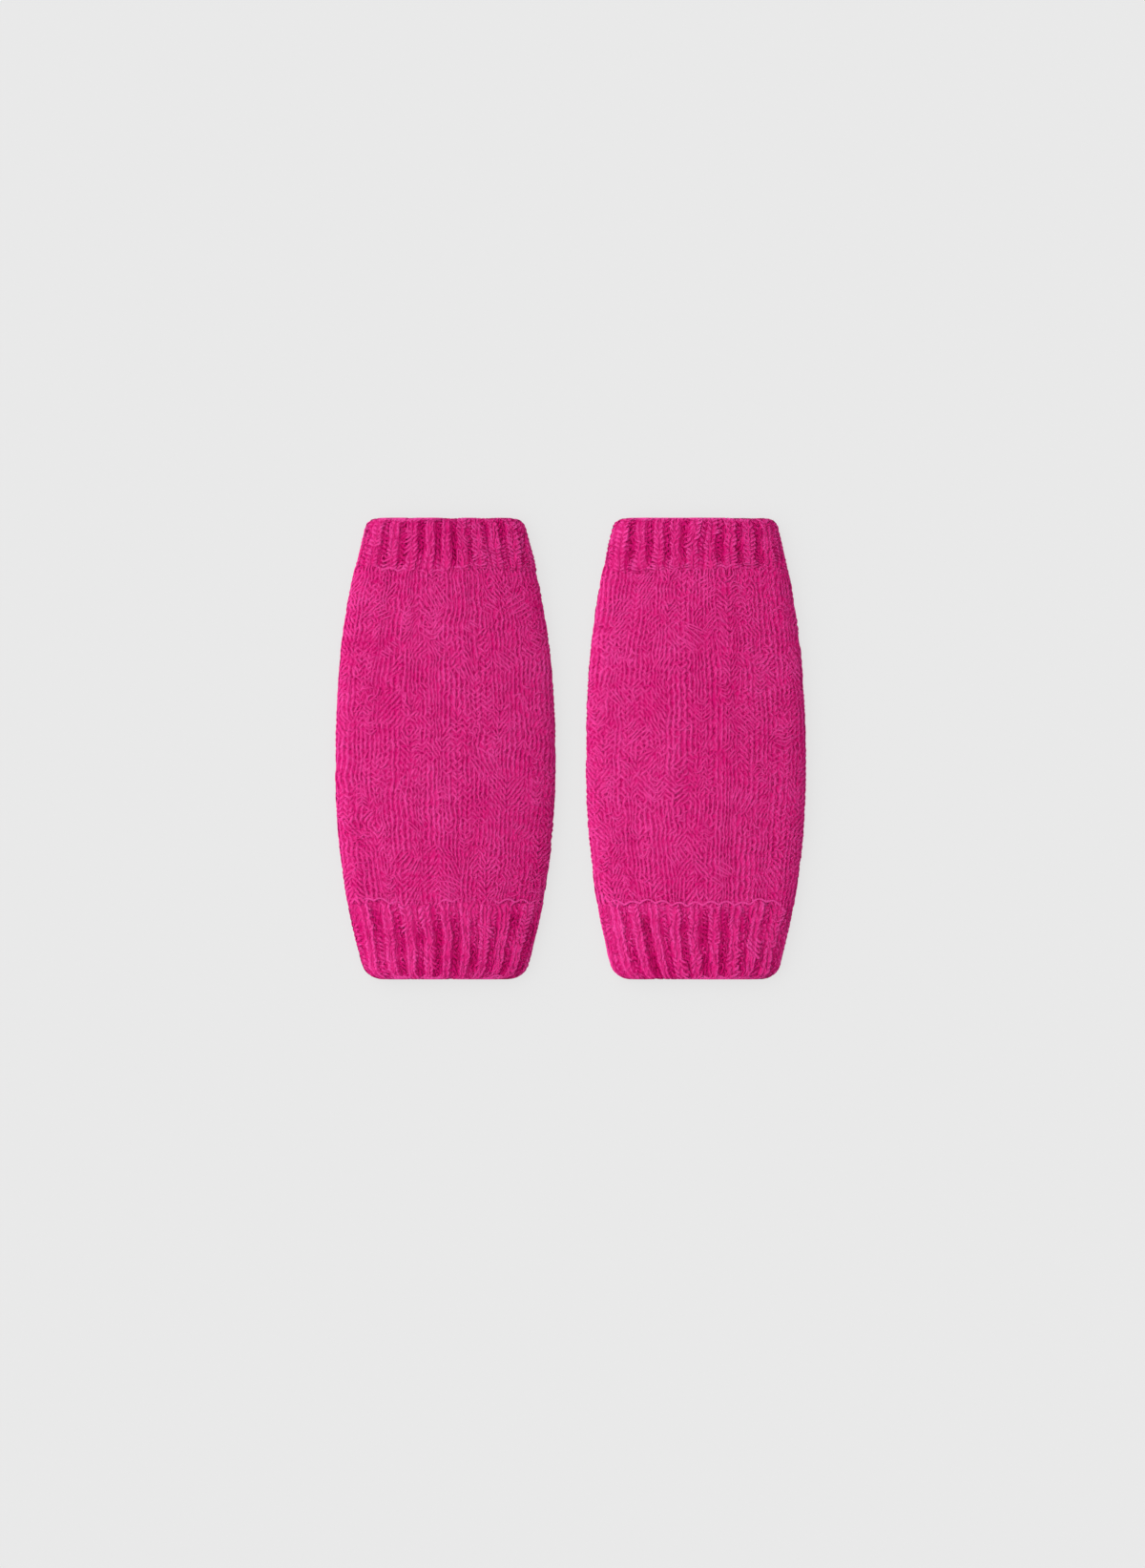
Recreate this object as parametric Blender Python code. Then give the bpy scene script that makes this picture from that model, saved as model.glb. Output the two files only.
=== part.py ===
"""A pair of fingerless mitts, knitted as open tubes and laid flat side by side.

Each mitt has an upper rib cuff, a stockinette body and a lower rib cuff. Every piece is a closed ring of
knitted wall, because the tube lies flat with its front layer on its back layer. Sizes are in metres, +Z is up
and +Y points to the fingers. The origin is on the surface below, midway between the mitts.
"""

from dataclasses import dataclass
from math import cos, hypot, pi, sin, sqrt

import bmesh
import bpy

# One mitt, laid flat.
LENGTH = 0.210
WIDEST = 0.1004
WIDEST_Y = -0.0033
FULLNESS = 2.2  # how late the sides draw in on the way to an end: 2 would be a parabola
UPPER_CUFF = 0.024
LOWER_CUFF = 0.034
UPPER_CORNER = 0.0043
LOWER_CORNER = 0.0065

# The knitted wall.
WALL = 0.0030
HOLLOW = 0.0010  # what stays open between the two layers
THICKNESS = 2 * WALL + HOLLOW
TOP_SHOULDER = 0.0075  # how far in from a side fold the front layer starts to round over
LOW_SHOULDER = 0.0040
HOLLOW_SHOULDER = 0.0012
RIBS_ROUND = 20
RIB_DEPTH = 0.0012
SEAM_GAP = 0.0003

# How finely the solids are faceted.
RIB_PROFILE = (0.0, 0.1, 0.9, 1.0, 0.9, 0.1)  # the share of RIB_DEPTH at each point from one rib to the next
CUFF_ROWS = 3
BODY_STEPS = 7  # steps along each rounded quarter of the body's side folds
BODY_ROWS = 12
BODY_HOLLOW_ROWS = 6
CORNER_ROWS = (0.0, 0.13, 0.5, 1.0)  # shares of a corner's radius, counted from the cuff's edge
FINE_STEPS = 48  # steps along each rounded quarter while a cuff's outline is measured
WELD = 1e-6

YARN_COLOUR = (0.60, 0.02, 0.18, 1.0)
YARN_ROUGHNESS = 0.9


@dataclass(frozen=True)
class Mitt:
    """One mitt's place and the widths at its two ends.

    Attributes:
        name: Start of its pieces' names.
        centre_x: Where its middle line lies.
        upper_end: Width of the finger edge, before its corners are rounded.
        lower_end: Width of the wrist edge, before its corners are rounded.
    """

    name: str
    centre_x: float
    upper_end: float
    lower_end: float


MITTS = (
    Mitt(name="left", centre_x=-0.0569, upper_end=0.0710, lower_end=0.0721),
    Mitt(name="right", centre_x=0.0569, upper_end=0.0734, lower_end=0.0742),
)


def corner_inset(y: float) -> float:
    """How far a rounded corner draws in one side at this height up the mitt.

    Args:
        y: Place along the mitt.

    Returns:
        The inset, which is zero past the corner.
    """
    for edge_distance, radius in ((LENGTH / 2 - y, UPPER_CORNER), (LENGTH / 2 + y, LOWER_CORNER)):
        if edge_distance < radius:
            return radius - sqrt(radius**2 - (radius - max(edge_distance, 0.0)) ** 2)
    return 0.0


def half_width(mitt: Mitt, y: float) -> float:
    """Half of a mitt's width at this height up it.

    Args:
        mitt: The mitt.
        y: Place along it.

    Returns:
        The distance from its middle line to its side fold.
    """
    end_y, end_width = (LENGTH / 2, mitt.upper_end) if y > WIDEST_Y else (-LENGTH / 2, mitt.lower_end)
    way = (y - WIDEST_Y) / (end_y - WIDEST_Y)
    return (WIDEST - (WIDEST - end_width) * way**FULLNESS) / 2 - corner_inset(y)


def flattened_outline(side: float, layers: tuple, shoulders: tuple, steps: int) -> list:
    """The outline of a tube that lies flat: two straight layers joined by rounded side folds.

    Args:
        side: Distance from the middle to each side fold.
        layers: Heights of the lower and the upper layer.
        shoulders: Lengths over which the lower and the upper layer round into the folds.
        steps: Steps along each rounded quarter.

    Returns:
        Points (x, z) from the right-hand fold over the top to the left and back underneath.
    """
    middle = sum(layers) / 2
    rise = (layers[1] - layers[0]) / 2
    outline = []
    for across in (1, -1):
        for step in range(2 * steps + 1):
            turn = across * (pi / 2) * (step / steps - 1)
            shoulder = shoulders[1] if turn > 0 else shoulders[0]
            x = across * (side - shoulder + shoulder * cos(turn))
            outline.append((x, middle + rise * sin(turn)))
    return outline[steps:] + outline[:steps]


def evenly_spaced(outline: list, count: int) -> list:
    """Points the same distance apart along a closed outline.

    Args:
        outline: Its fine points (x, z).
        count: How many points to place.

    Returns:
        The points (x, z), starting at the outline's own first point.
    """
    ends = outline[1:] + outline[:1]
    lengths = [hypot(b[0] - a[0], b[1] - a[1]) for a, b in zip(outline, ends)]
    spacing = sum(lengths) / count
    spaced, passed, piece = [], 0.0, 0
    for number in range(count):
        while passed + lengths[piece] < number * spacing and piece < len(outline) - 1:
            passed += lengths[piece]
            piece += 1
        share = (number * spacing - passed) / lengths[piece] if lengths[piece] else 0.0
        (ax, az), (bx, bz) = outline[piece], ends[piece]
        spaced.append((ax + (bx - ax) * share, az + (bz - az) * share))
    return spaced


def sunk_in_valleys(ring: list) -> list:
    """A ribbed outline, made by moving the points of every valley into the wall.

    Args:
        ring: Evenly spaced points (x, z) of the smooth outline.

    Returns:
        The ribbed points.
    """
    ribbed = []
    for number, (x, z) in enumerate(ring):
        before, after = ring[number - 1], ring[(number + 1) % len(ring)]
        along_x, along_z = after[0] - before[0], after[1] - before[1]
        length = hypot(along_x, along_z)
        sink = RIB_DEPTH * RIB_PROFILE[number % len(RIB_PROFILE)]
        ribbed.append((x - sink * along_z / length, z + sink * along_x / length))
    return ribbed


def raised(mitt: Mitt, y: float, outline: list) -> list:
    """An outline's points (x, z) as points (x, y, z) at their place on the mitt."""
    return [(mitt.centre_x + x, y, z) for x, z in outline]


def outside_outline(mitt: Mitt, y: float, steps: int) -> list:
    """The smooth outside of a mitt at one height, as points (x, z).

    Args:
        mitt: The mitt.
        y: Place along it.
        steps: Steps along each rounded quarter.

    Returns:
        The outline's points.
    """
    return flattened_outline(half_width(mitt, y), (0.0, THICKNESS), (LOW_SHOULDER, TOP_SHOULDER), steps)


def hollow_outline(mitt: Mitt, y: float, steps: int) -> list:
    """The inside of a mitt at one height, as points (x, z).

    Args:
        mitt: The mitt.
        y: Place along it.
        steps: Steps along each rounded quarter.

    Returns:
        The outline's points.
    """
    layers = (WALL, WALL + HOLLOW)
    return flattened_outline(half_width(mitt, y) - WALL, layers, (HOLLOW_SHOULDER, HOLLOW_SHOULDER), steps)


def knitted_wall(name: str, rings: list) -> None:
    """Adds one piece: a grid wrapped round its rings and closed into a solid.

    Args:
        name: The piece's name.
        rings: Rings of points with the same count, from the outside over one edge to the hollow. The last
            ring joins the first.
    """
    points = len(rings[0])
    wall = bmesh.new()
    bmesh.ops.create_grid(wall, x_segments=points, y_segments=len(rings), size=0.5)
    for vertex in wall.verts:
        place = round((vertex.co.x + 0.5) * points) % points
        row = round((vertex.co.y + 0.5) * len(rings)) % len(rings)
        vertex.co = rings[row][place]
    bmesh.ops.remove_doubles(wall, verts=wall.verts, dist=WELD)
    bmesh.ops.recalc_face_normals(wall, faces=wall.faces)
    mesh = bpy.data.meshes.new(name)
    wall.to_mesh(mesh)
    wall.free()
    mesh.shade_smooth()
    mesh.materials.append(yarn())
    bpy.context.scene.collection.objects.link(bpy.data.objects.new(name, mesh))


def yarn() -> bpy.types.Material:
    """The one yarn that every piece is knitted from, made once."""
    found = bpy.data.materials.get("yarn")
    if found:
        return found
    made = bpy.data.materials.new("yarn")
    made.use_nodes = True
    shader = made.node_tree.nodes["Principled BSDF"]
    shader.inputs["Base Color"].default_value = YARN_COLOUR
    shader.inputs["Roughness"].default_value = YARN_ROUGHNESS
    shader.inputs["Metallic"].default_value = 0.0
    return made


def spread(start: float, end: float, count: int) -> list:
    """Evenly spaced places from start to end."""
    return [start + (end - start) * step / (count - 1) for step in range(count)]


def cuff(mitt: Mitt, name: str, edge_y: float, seam_y: float, corner: float) -> None:
    """Adds a ribbed cuff, with more rings where its corners round.

    Args:
        mitt: The mitt it ends.
        name: Which cuff it is.
        edge_y: Its open edge.
        seam_y: Where it meets the body.
        corner: Radius of its rounded corners.
    """
    corner_y = edge_y + (corner if seam_y > edge_y else -corner)
    corner_rows = [edge_y + (corner_y - edge_y) * share for share in CORNER_ROWS]
    points = RIBS_ROUND * len(RIB_PROFILE)
    rings = []
    for y in corner_rows + spread(corner_y, seam_y, CUFF_ROWS)[1:]:
        smooth = evenly_spaced(outside_outline(mitt, y, FINE_STEPS), points)
        rings.append(raised(mitt, y, sunk_in_valleys(smooth)))
    for y in (seam_y, corner_y, edge_y):
        rings.append(raised(mitt, y, evenly_spaced(hollow_outline(mitt, y, FINE_STEPS), points)))
    knitted_wall(f"{mitt.name}_{name}", rings)


def body(mitt: Mitt, low_y: float, high_y: float) -> None:
    """Adds the plain knitted body between the two cuffs.

    Args:
        mitt: The mitt it belongs to.
        low_y: Its end at the lower cuff.
        high_y: Its end at the upper cuff.
    """
    rings = [raised(mitt, y, outside_outline(mitt, y, BODY_STEPS)) for y in spread(low_y, high_y, BODY_ROWS)]
    for y in spread(high_y, low_y, BODY_HOLLOW_ROWS):
        rings.append(raised(mitt, y, hollow_outline(mitt, y, BODY_STEPS)))
    knitted_wall(f"{mitt.name}_body", rings)


def main() -> None:
    """Clears the scene and builds both mitts."""
    for item in list(bpy.data.objects):
        bpy.data.objects.remove(item, do_unlink=True)
    upper_seam = LENGTH / 2 - UPPER_CUFF
    lower_seam = -LENGTH / 2 + LOWER_CUFF
    for mitt in MITTS:
        cuff(mitt, "upper_cuff", LENGTH / 2, upper_seam + SEAM_GAP / 2, UPPER_CORNER)
        body(mitt, lower_seam + SEAM_GAP / 2, upper_seam - SEAM_GAP / 2)
        cuff(mitt, "lower_cuff", -LENGTH / 2, lower_seam - SEAM_GAP / 2, LOWER_CORNER)


if __name__ == "__main__":
    main()
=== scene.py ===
"""Looks of a pair of hand-knitted fingerless mitts that lie flat, side by side, on a pale floor.

Every stitch is a real loop of yarn. One stitch is swept as a tube, repeated into a flat sheet of knitting by
arrays, made uneven as hand knitting is, and wrapped round the flattened tube that the mitt's solids hold. A
thin cloth under the loops closes the gaps between them. All sizes are in metres, in the frame of the solids.
"""

import logging
import math
from collections.abc import Callable
from dataclasses import dataclass
from enum import Enum

import bmesh
import bpy
import numpy as np
from mathutils import Matrix, Vector

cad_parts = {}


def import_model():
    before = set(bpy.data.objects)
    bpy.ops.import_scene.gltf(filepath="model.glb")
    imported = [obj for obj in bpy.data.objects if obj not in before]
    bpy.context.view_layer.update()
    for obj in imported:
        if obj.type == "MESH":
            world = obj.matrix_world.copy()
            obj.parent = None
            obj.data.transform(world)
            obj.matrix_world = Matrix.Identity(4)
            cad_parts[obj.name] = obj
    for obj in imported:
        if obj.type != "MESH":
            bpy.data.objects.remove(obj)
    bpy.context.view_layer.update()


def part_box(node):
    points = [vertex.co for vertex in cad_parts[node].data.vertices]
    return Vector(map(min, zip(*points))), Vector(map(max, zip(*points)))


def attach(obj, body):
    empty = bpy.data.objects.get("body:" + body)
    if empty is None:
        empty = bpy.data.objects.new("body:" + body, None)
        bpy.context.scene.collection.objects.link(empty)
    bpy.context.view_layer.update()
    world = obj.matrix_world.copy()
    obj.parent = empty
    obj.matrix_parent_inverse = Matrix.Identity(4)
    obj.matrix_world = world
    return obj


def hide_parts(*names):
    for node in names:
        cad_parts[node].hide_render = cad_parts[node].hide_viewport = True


LOG = logging.getLogger("mitts")
NEAR = 1e-3  # share of a path within which its direction is read
WELD = 1e-6


class Stretch(Enum):
    """The three stretches of one mitt, named as its solids are."""

    UPPER_CUFF = "upper_cuff"
    BODY = "body"
    LOWER_CUFF = "lower_cuff"


class Face(Enum):
    """How a wale of stitches shows on the outside."""

    KNIT = 1
    PURL = -1


# ----------------------------------------------------------------------------------------- small helpers


def linked(name: str, data: bpy.types.ID) -> bpy.types.Object:
    """Makes an object and links it to the scene.

    Args:
        name: Its name.
        data: Its mesh, lamp or camera.

    Returns:
        The object.
    """
    made = bpy.data.objects.new(name, data)
    bpy.context.scene.collection.objects.link(made)
    return made


def flat_grid(name: str, columns: int, rows: int, half: float) -> bpy.types.Object:
    """Makes a flat square grid round the origin.

    Args:
        name: Its name.
        columns: Its cells across.
        rows: Its cells along.
        half: Half of its side.

    Returns:
        The grid, linked to the scene.
    """
    mesh = bmesh.new()
    bmesh.ops.create_grid(mesh, x_segments=columns, y_segments=rows, size=half)
    data = bpy.data.meshes.new(name)
    mesh.to_mesh(data)
    mesh.free()
    return linked(name, data)


def points_of(piece: bpy.types.Object) -> np.ndarray:
    """The vertices of a piece, one row each."""
    found = np.empty(len(piece.data.vertices) * 3, np.float32)
    piece.data.vertices.foreach_get("co", found)
    return found.reshape(-1, 3).astype(float)


def values_of(piece: bpy.types.Object, name: str) -> np.ndarray:
    """A number that each vertex of a piece carries."""
    found = np.empty(len(piece.data.vertices), np.float32)
    piece.data.attributes[name].data.foreach_get("value", found)
    return found.astype(float)


def pressed(value: np.ndarray, least: float, softness: float) -> np.ndarray:
    """Values pressed softly above a least one.

    Args:
        value: The values.
        least: The least value.
        softness: Range over which they are pressed together.

    Returns:
        The pressed values.
    """
    over = value - least
    return least + (over + np.sqrt(over**2 + softness**2)) / 2


# ---------------------------------------------------------------------------------------------- finishes


@dataclass(frozen=True)
class NodeBench:
    """A small helper that adds shader nodes and wires them.

    Attributes:
        tree: The node tree that it works on.
    """

    tree: bpy.types.NodeTree

    def add(self, kind: str, feeds: dict | None = None, **settings: object) -> bpy.types.Node:
        """Adds a node, sets its properties and wires or sets its inputs.

        Args:
            kind: The node's type, without its ShaderNode prefix.
            feeds: Its inputs by name or number, each a socket to link from or a plain value.
            **settings: Properties to set on it.

        Returns:
            The node.
        """
        node = self.tree.nodes.new(f"ShaderNode{kind}")
        for name, value in settings.items():
            setattr(node, name, value)
        self.feed(node, feeds or {})
        return node

    def feed(self, node: bpy.types.Node, feeds: dict) -> None:
        """Wires or sets the inputs of a node.

        Args:
            node: The node.
            feeds: Its inputs by name or number, each a socket to link from or a plain value.
        """
        for name, value in feeds.items():
            if isinstance(value, bpy.types.NodeSocket):
                self.tree.links.new(value, node.inputs[name])
            else:
                node.inputs[name].default_value = value

    def maths(self, operation: str, first: object, second: object = 0.0) -> bpy.types.NodeSocket:
        """The result of a Math node on two sockets or values."""
        return self.add("Math", {0: first, 1: second}, operation=operation).outputs[0]

    def noise(self, places: bpy.types.NodeSocket, scale: float, detail: float = 2.0) -> bpy.types.NodeSocket:
        """A noise with this many cells to the metre."""
        return self.add("TexNoise", {"Vector": places, "Scale": scale, "Detail": detail}).outputs["Fac"]

    def spread(self, value: bpy.types.NodeSocket, low: float, high: float) -> bpy.types.NodeSocket:
        """A value between two limits as a share from 0 to 1."""
        return self.add("MapRange", {"Value": value, "From Min": low, "From Max": high}).outputs[0]

    def softened(self, softness: float) -> bpy.types.NodeSocket:
        """The surface's direction turned towards that of the whole mitt, as loose fibres do.

        Args:
            softness: Share by which it is turned.

        Returns:
            The new direction.
        """
        own = self.add("NewGeometry").outputs["Normal"]
        whole = self.add("Attribute", attribute_name="facing").outputs["Vector"]
        mixed = self.add("Mix", {0: softness, 4: own, 5: whole}, data_type="VECTOR").outputs[1]
        return self.add("VectorMath", {0: mixed}, operation="NORMALIZE").outputs[0]

    def mix(self, share: object, first: object, second: object) -> bpy.types.NodeSocket:
        """A mix of two colours."""
        return self.add("Mix", {0: share, 6: first, 7: second}, data_type="RGBA").outputs[2]

    def speckle(self, places: bpy.types.NodeSocket, scale: float, strength: float,
                detail: float = 2.0) -> bpy.types.NodeSocket:
        """An even spread of light and dark specks.

        Args:
            places: Where they are read.
            scale: Specks to the metre.
            strength: The most that a speck gives.
            detail: How ragged they are.

        Returns:
            A value from 0 to the strength.
        """
        return self.maths("MULTIPLY", self.spread(self.noise(places, scale, detail), 0.3, 0.7), strength)


def new_material(name: str) -> tuple:
    """Makes a material.

    Args:
        name: Its name.

    Returns:
        The material, a bench for its nodes and its shader.
    """
    made = bpy.data.materials.new(name)
    made.use_nodes = True
    return made, NodeBench(made.node_tree), made.node_tree.nodes["Principled BSDF"]


@dataclass(frozen=True)
class WoolColourAndPaintedShade:
    """Colours of the wool by how high it stands in the wall of the mitt: the dyed colour, which changes at
    random from patch to patch, tuft to tuft and fibre to fibre, with painted light and shade on it: a painted
    highlight on the tops of the strands, painted shade down their sides and darker painted shade deep between
    ribs.

    Attributes:
        crown: On top of a strand, where loose fibres catch the light: a painted highlight.
        flank: On its sides: painted shade.
        deep: Far down between ribs: darker painted shade.
        crown_height: Height from which it has its crown colour.
        flank_height: Height at which it has its flank colour.
        deep_height: Height from which it has its deep colour.
        patchiness: How much the colour changes from patch to patch.
        patch_scale: Patches to the metre.
        tufts: How much it changes from loop to loop.
        tuft_scale: Tufts to the metre.
        mottle: How much it changes from fibre to fibre.
        mottle_scale: Specks of mottle to the metre.
        softness: How much loose fibres even out the light on the strands.
    """

    crown: tuple = (0.660, 0.0470, 0.258, 1.0)
    flank: tuple = (0.500, 0.0048, 0.126, 1.0)
    deep: tuple = (0.360, 0.0016, 0.070, 1.0)
    crown_height: float = 0.00025
    flank_height: float = -0.0006
    deep_height: float = -0.0021
    patchiness: float = 0.30
    patch_scale: float = 70.0
    tufts: float = 0.44
    tuft_scale: float = 300.0
    mottle: float = 0.24
    mottle_scale: float = 900.0
    softness: float = 0.7

    def colour(self, bench: NodeBench, where: bpy.types.NodeSocket,
               strands: object = 0.0) -> bpy.types.NodeSocket:
        """Adds the nodes that give the colour: random patches, tufts and mottle, and a painted highlight and
        painted shade read from the height attribute.

        Args:
            bench: The material's nodes.
            where: Object coordinates.
            strands: How much lighter single felted strands are.

        Returns:
            The colour's socket.
        """
        height = bench.add("Attribute", attribute_name="height").outputs["Fac"]
        patches = bench.speckle(where, self.patch_scale, self.patchiness, detail=3.0)
        tufts = bench.speckle(where, self.tuft_scale, self.tufts)
        mottle = bench.speckle(where, self.mottle_scale, self.mottle)
        # painted light and shade: higher wool gets the lighter crown colour, lower wool the darker flank
        # colour
        crown = bench.spread(height, self.flank_height, self.crown_height)
        even = bench.maths("SUBTRACT", crown, (self.patchiness + self.tufts + self.mottle) / 2)
        uneven = bench.maths("ADD", bench.maths("ADD", patches, tufts), mottle)
        share = bench.maths("ADD", bench.maths("ADD", even, strands), uneven)
        upper = bench.mix(bench.spread(share, 0.0, 1.0), self.flank, self.crown)
        # painted shade: wool far down between ribs gets the darker deep colour
        return bench.mix(bench.spread(height, self.flank_height, self.deep_height), upper, self.deep)

    def soften(self, bench: NodeBench, shader: bpy.types.Node) -> None:
        """Gives the shader the matt, slightly see-through look of wool."""
        bench.feed(shader, {"Roughness": 0.9, "Specular IOR Level": 0.0, "Sheen Weight": 0.25,
                            "Sheen Roughness": 0.45, "Sheen Tint": (1.0, 0.13, 0.50, 1.0),
                            "Subsurface Weight": 0.3, "Subsurface Radius": (1.0, 0.6, 0.8),
                            "Subsurface Scale": 0.0003})


@dataclass(frozen=True)
class YarnFinish:
    """Spun wool yarn with visible plies.

    Attributes:
        name: The material's name.
        colour_and_painted_shade: Its colours, with a painted highlight and painted shade by height.
        ply_turns: Twists of the yarn along one stitch.
        plies: How many plies it has.
        ply_height: Depth of the grooves between plies.
        fuzz_scale: Fibres to the metre.
        fuzz: How far they stand out.
    """

    name: str = "magenta_yarn"
    colour_and_painted_shade: WoolColourAndPaintedShade = WoolColourAndPaintedShade()
    ply_turns: float = 7.0
    plies: float = 3.0
    ply_height: float = 0.00007
    fuzz_scale: float = 2600.0
    fuzz: float = 0.0003

    def build(self) -> bpy.types.Material:
        """Makes the material.

        Returns:
            The material.
        """
        made, bench, shader = new_material(self.name)
        places = bench.add("TexCoord")
        where = places.outputs["Object"]
        along = bench.add("SeparateXYZ", {0: places.outputs["UV"]})
        twist = bench.maths("ADD", bench.maths("MULTIPLY", along.outputs[0], self.ply_turns),
                            bench.maths("MULTIPLY", along.outputs[1], self.plies))
        plies = bench.maths("SINE", bench.maths("MULTIPLY", twist, 2 * math.pi))
        grooves = bench.add("Bump", {"Height": plies, "Distance": self.ply_height, "Strength": 0.8,
                                     "Normal": bench.softened(self.colour_and_painted_shade.softness)})
        fibres = bench.add("Bump", {"Height": bench.noise(where, self.fuzz_scale), "Distance": self.fuzz,
                                    "Strength": 0.8, "Normal": grooves.outputs[0]})
        bench.feed(shader, {"Base Color": self.colour_and_painted_shade.colour(bench, where), "Normal": fibres.outputs[0]})
        self.colour_and_painted_shade.soften(bench, shader)
        return made


@dataclass(frozen=True)
class FeltFinish:
    """The felted ground that shows deep between the loops. Its colours are darker than the yarn's, painted
    shade for the gaps between the loops.

    Attributes:
        name: The material's name.
        colour_and_painted_shade: Its colours, darker than the yarn's as painted shade, with a painted
            highlight and painted shade by height.
        strands: Fineness of the strands matted into it.
        strand_height: How far they stand out.
        lift: How much lighter they are.
        fuzz_scale: Fibres to the metre.
        fuzz: How far they stand out.
    """

    name: str = "felted_shaded_ground"
    # darker than the yarn's colours: painted shade where this cloth shows between the loops
    colour_and_painted_shade: WoolColourAndPaintedShade = WoolColourAndPaintedShade(crown=(0.575, 0.026, 0.188, 1.0), flank=(0.440, 0.0044, 0.108, 1.0),
                           deep=(0.350, 0.0014, 0.064, 1.0))
    strands: float = 150.0
    strand_height: float = 0.0006
    lift: float = 0.4
    fuzz_scale: float = 1400.0
    fuzz: float = 0.0004

    def build(self) -> bpy.types.Material:
        """Makes the material.

        Returns:
            The material.
        """
        made, bench, shader = new_material(self.name)
        where = bench.add("TexCoord").outputs["Object"]
        strands = bench.add("TexWave", {"Vector": where, "Scale": self.strands, "Distortion": 9.0,
                                        "Detail": 2.0, "Detail Scale": 1.2}).outputs["Fac"]
        matted = bench.add("Bump", {"Height": strands, "Distance": self.strand_height, "Strength": 0.9,
                                    "Normal": bench.softened(self.colour_and_painted_shade.softness)})
        fuzz = bench.noise(where, self.fuzz_scale, 3.0)
        fibres = bench.add("Bump", {"Height": fuzz, "Distance": self.fuzz, "Strength": 0.8,
                                    "Normal": matted.outputs[0]})
        lighter = bench.maths("MULTIPLY", bench.maths("POWER", strands, 2.0), self.lift)
        colour = self.colour_and_painted_shade.colour(bench, where, lighter)
        bench.feed(shader, {"Base Color": colour, "Normal": fibres.outputs[0]})
        self.colour_and_painted_shade.soften(bench, shader)
        return made


# ------------------------------------------------------------------------------------ the form of one mitt


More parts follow.
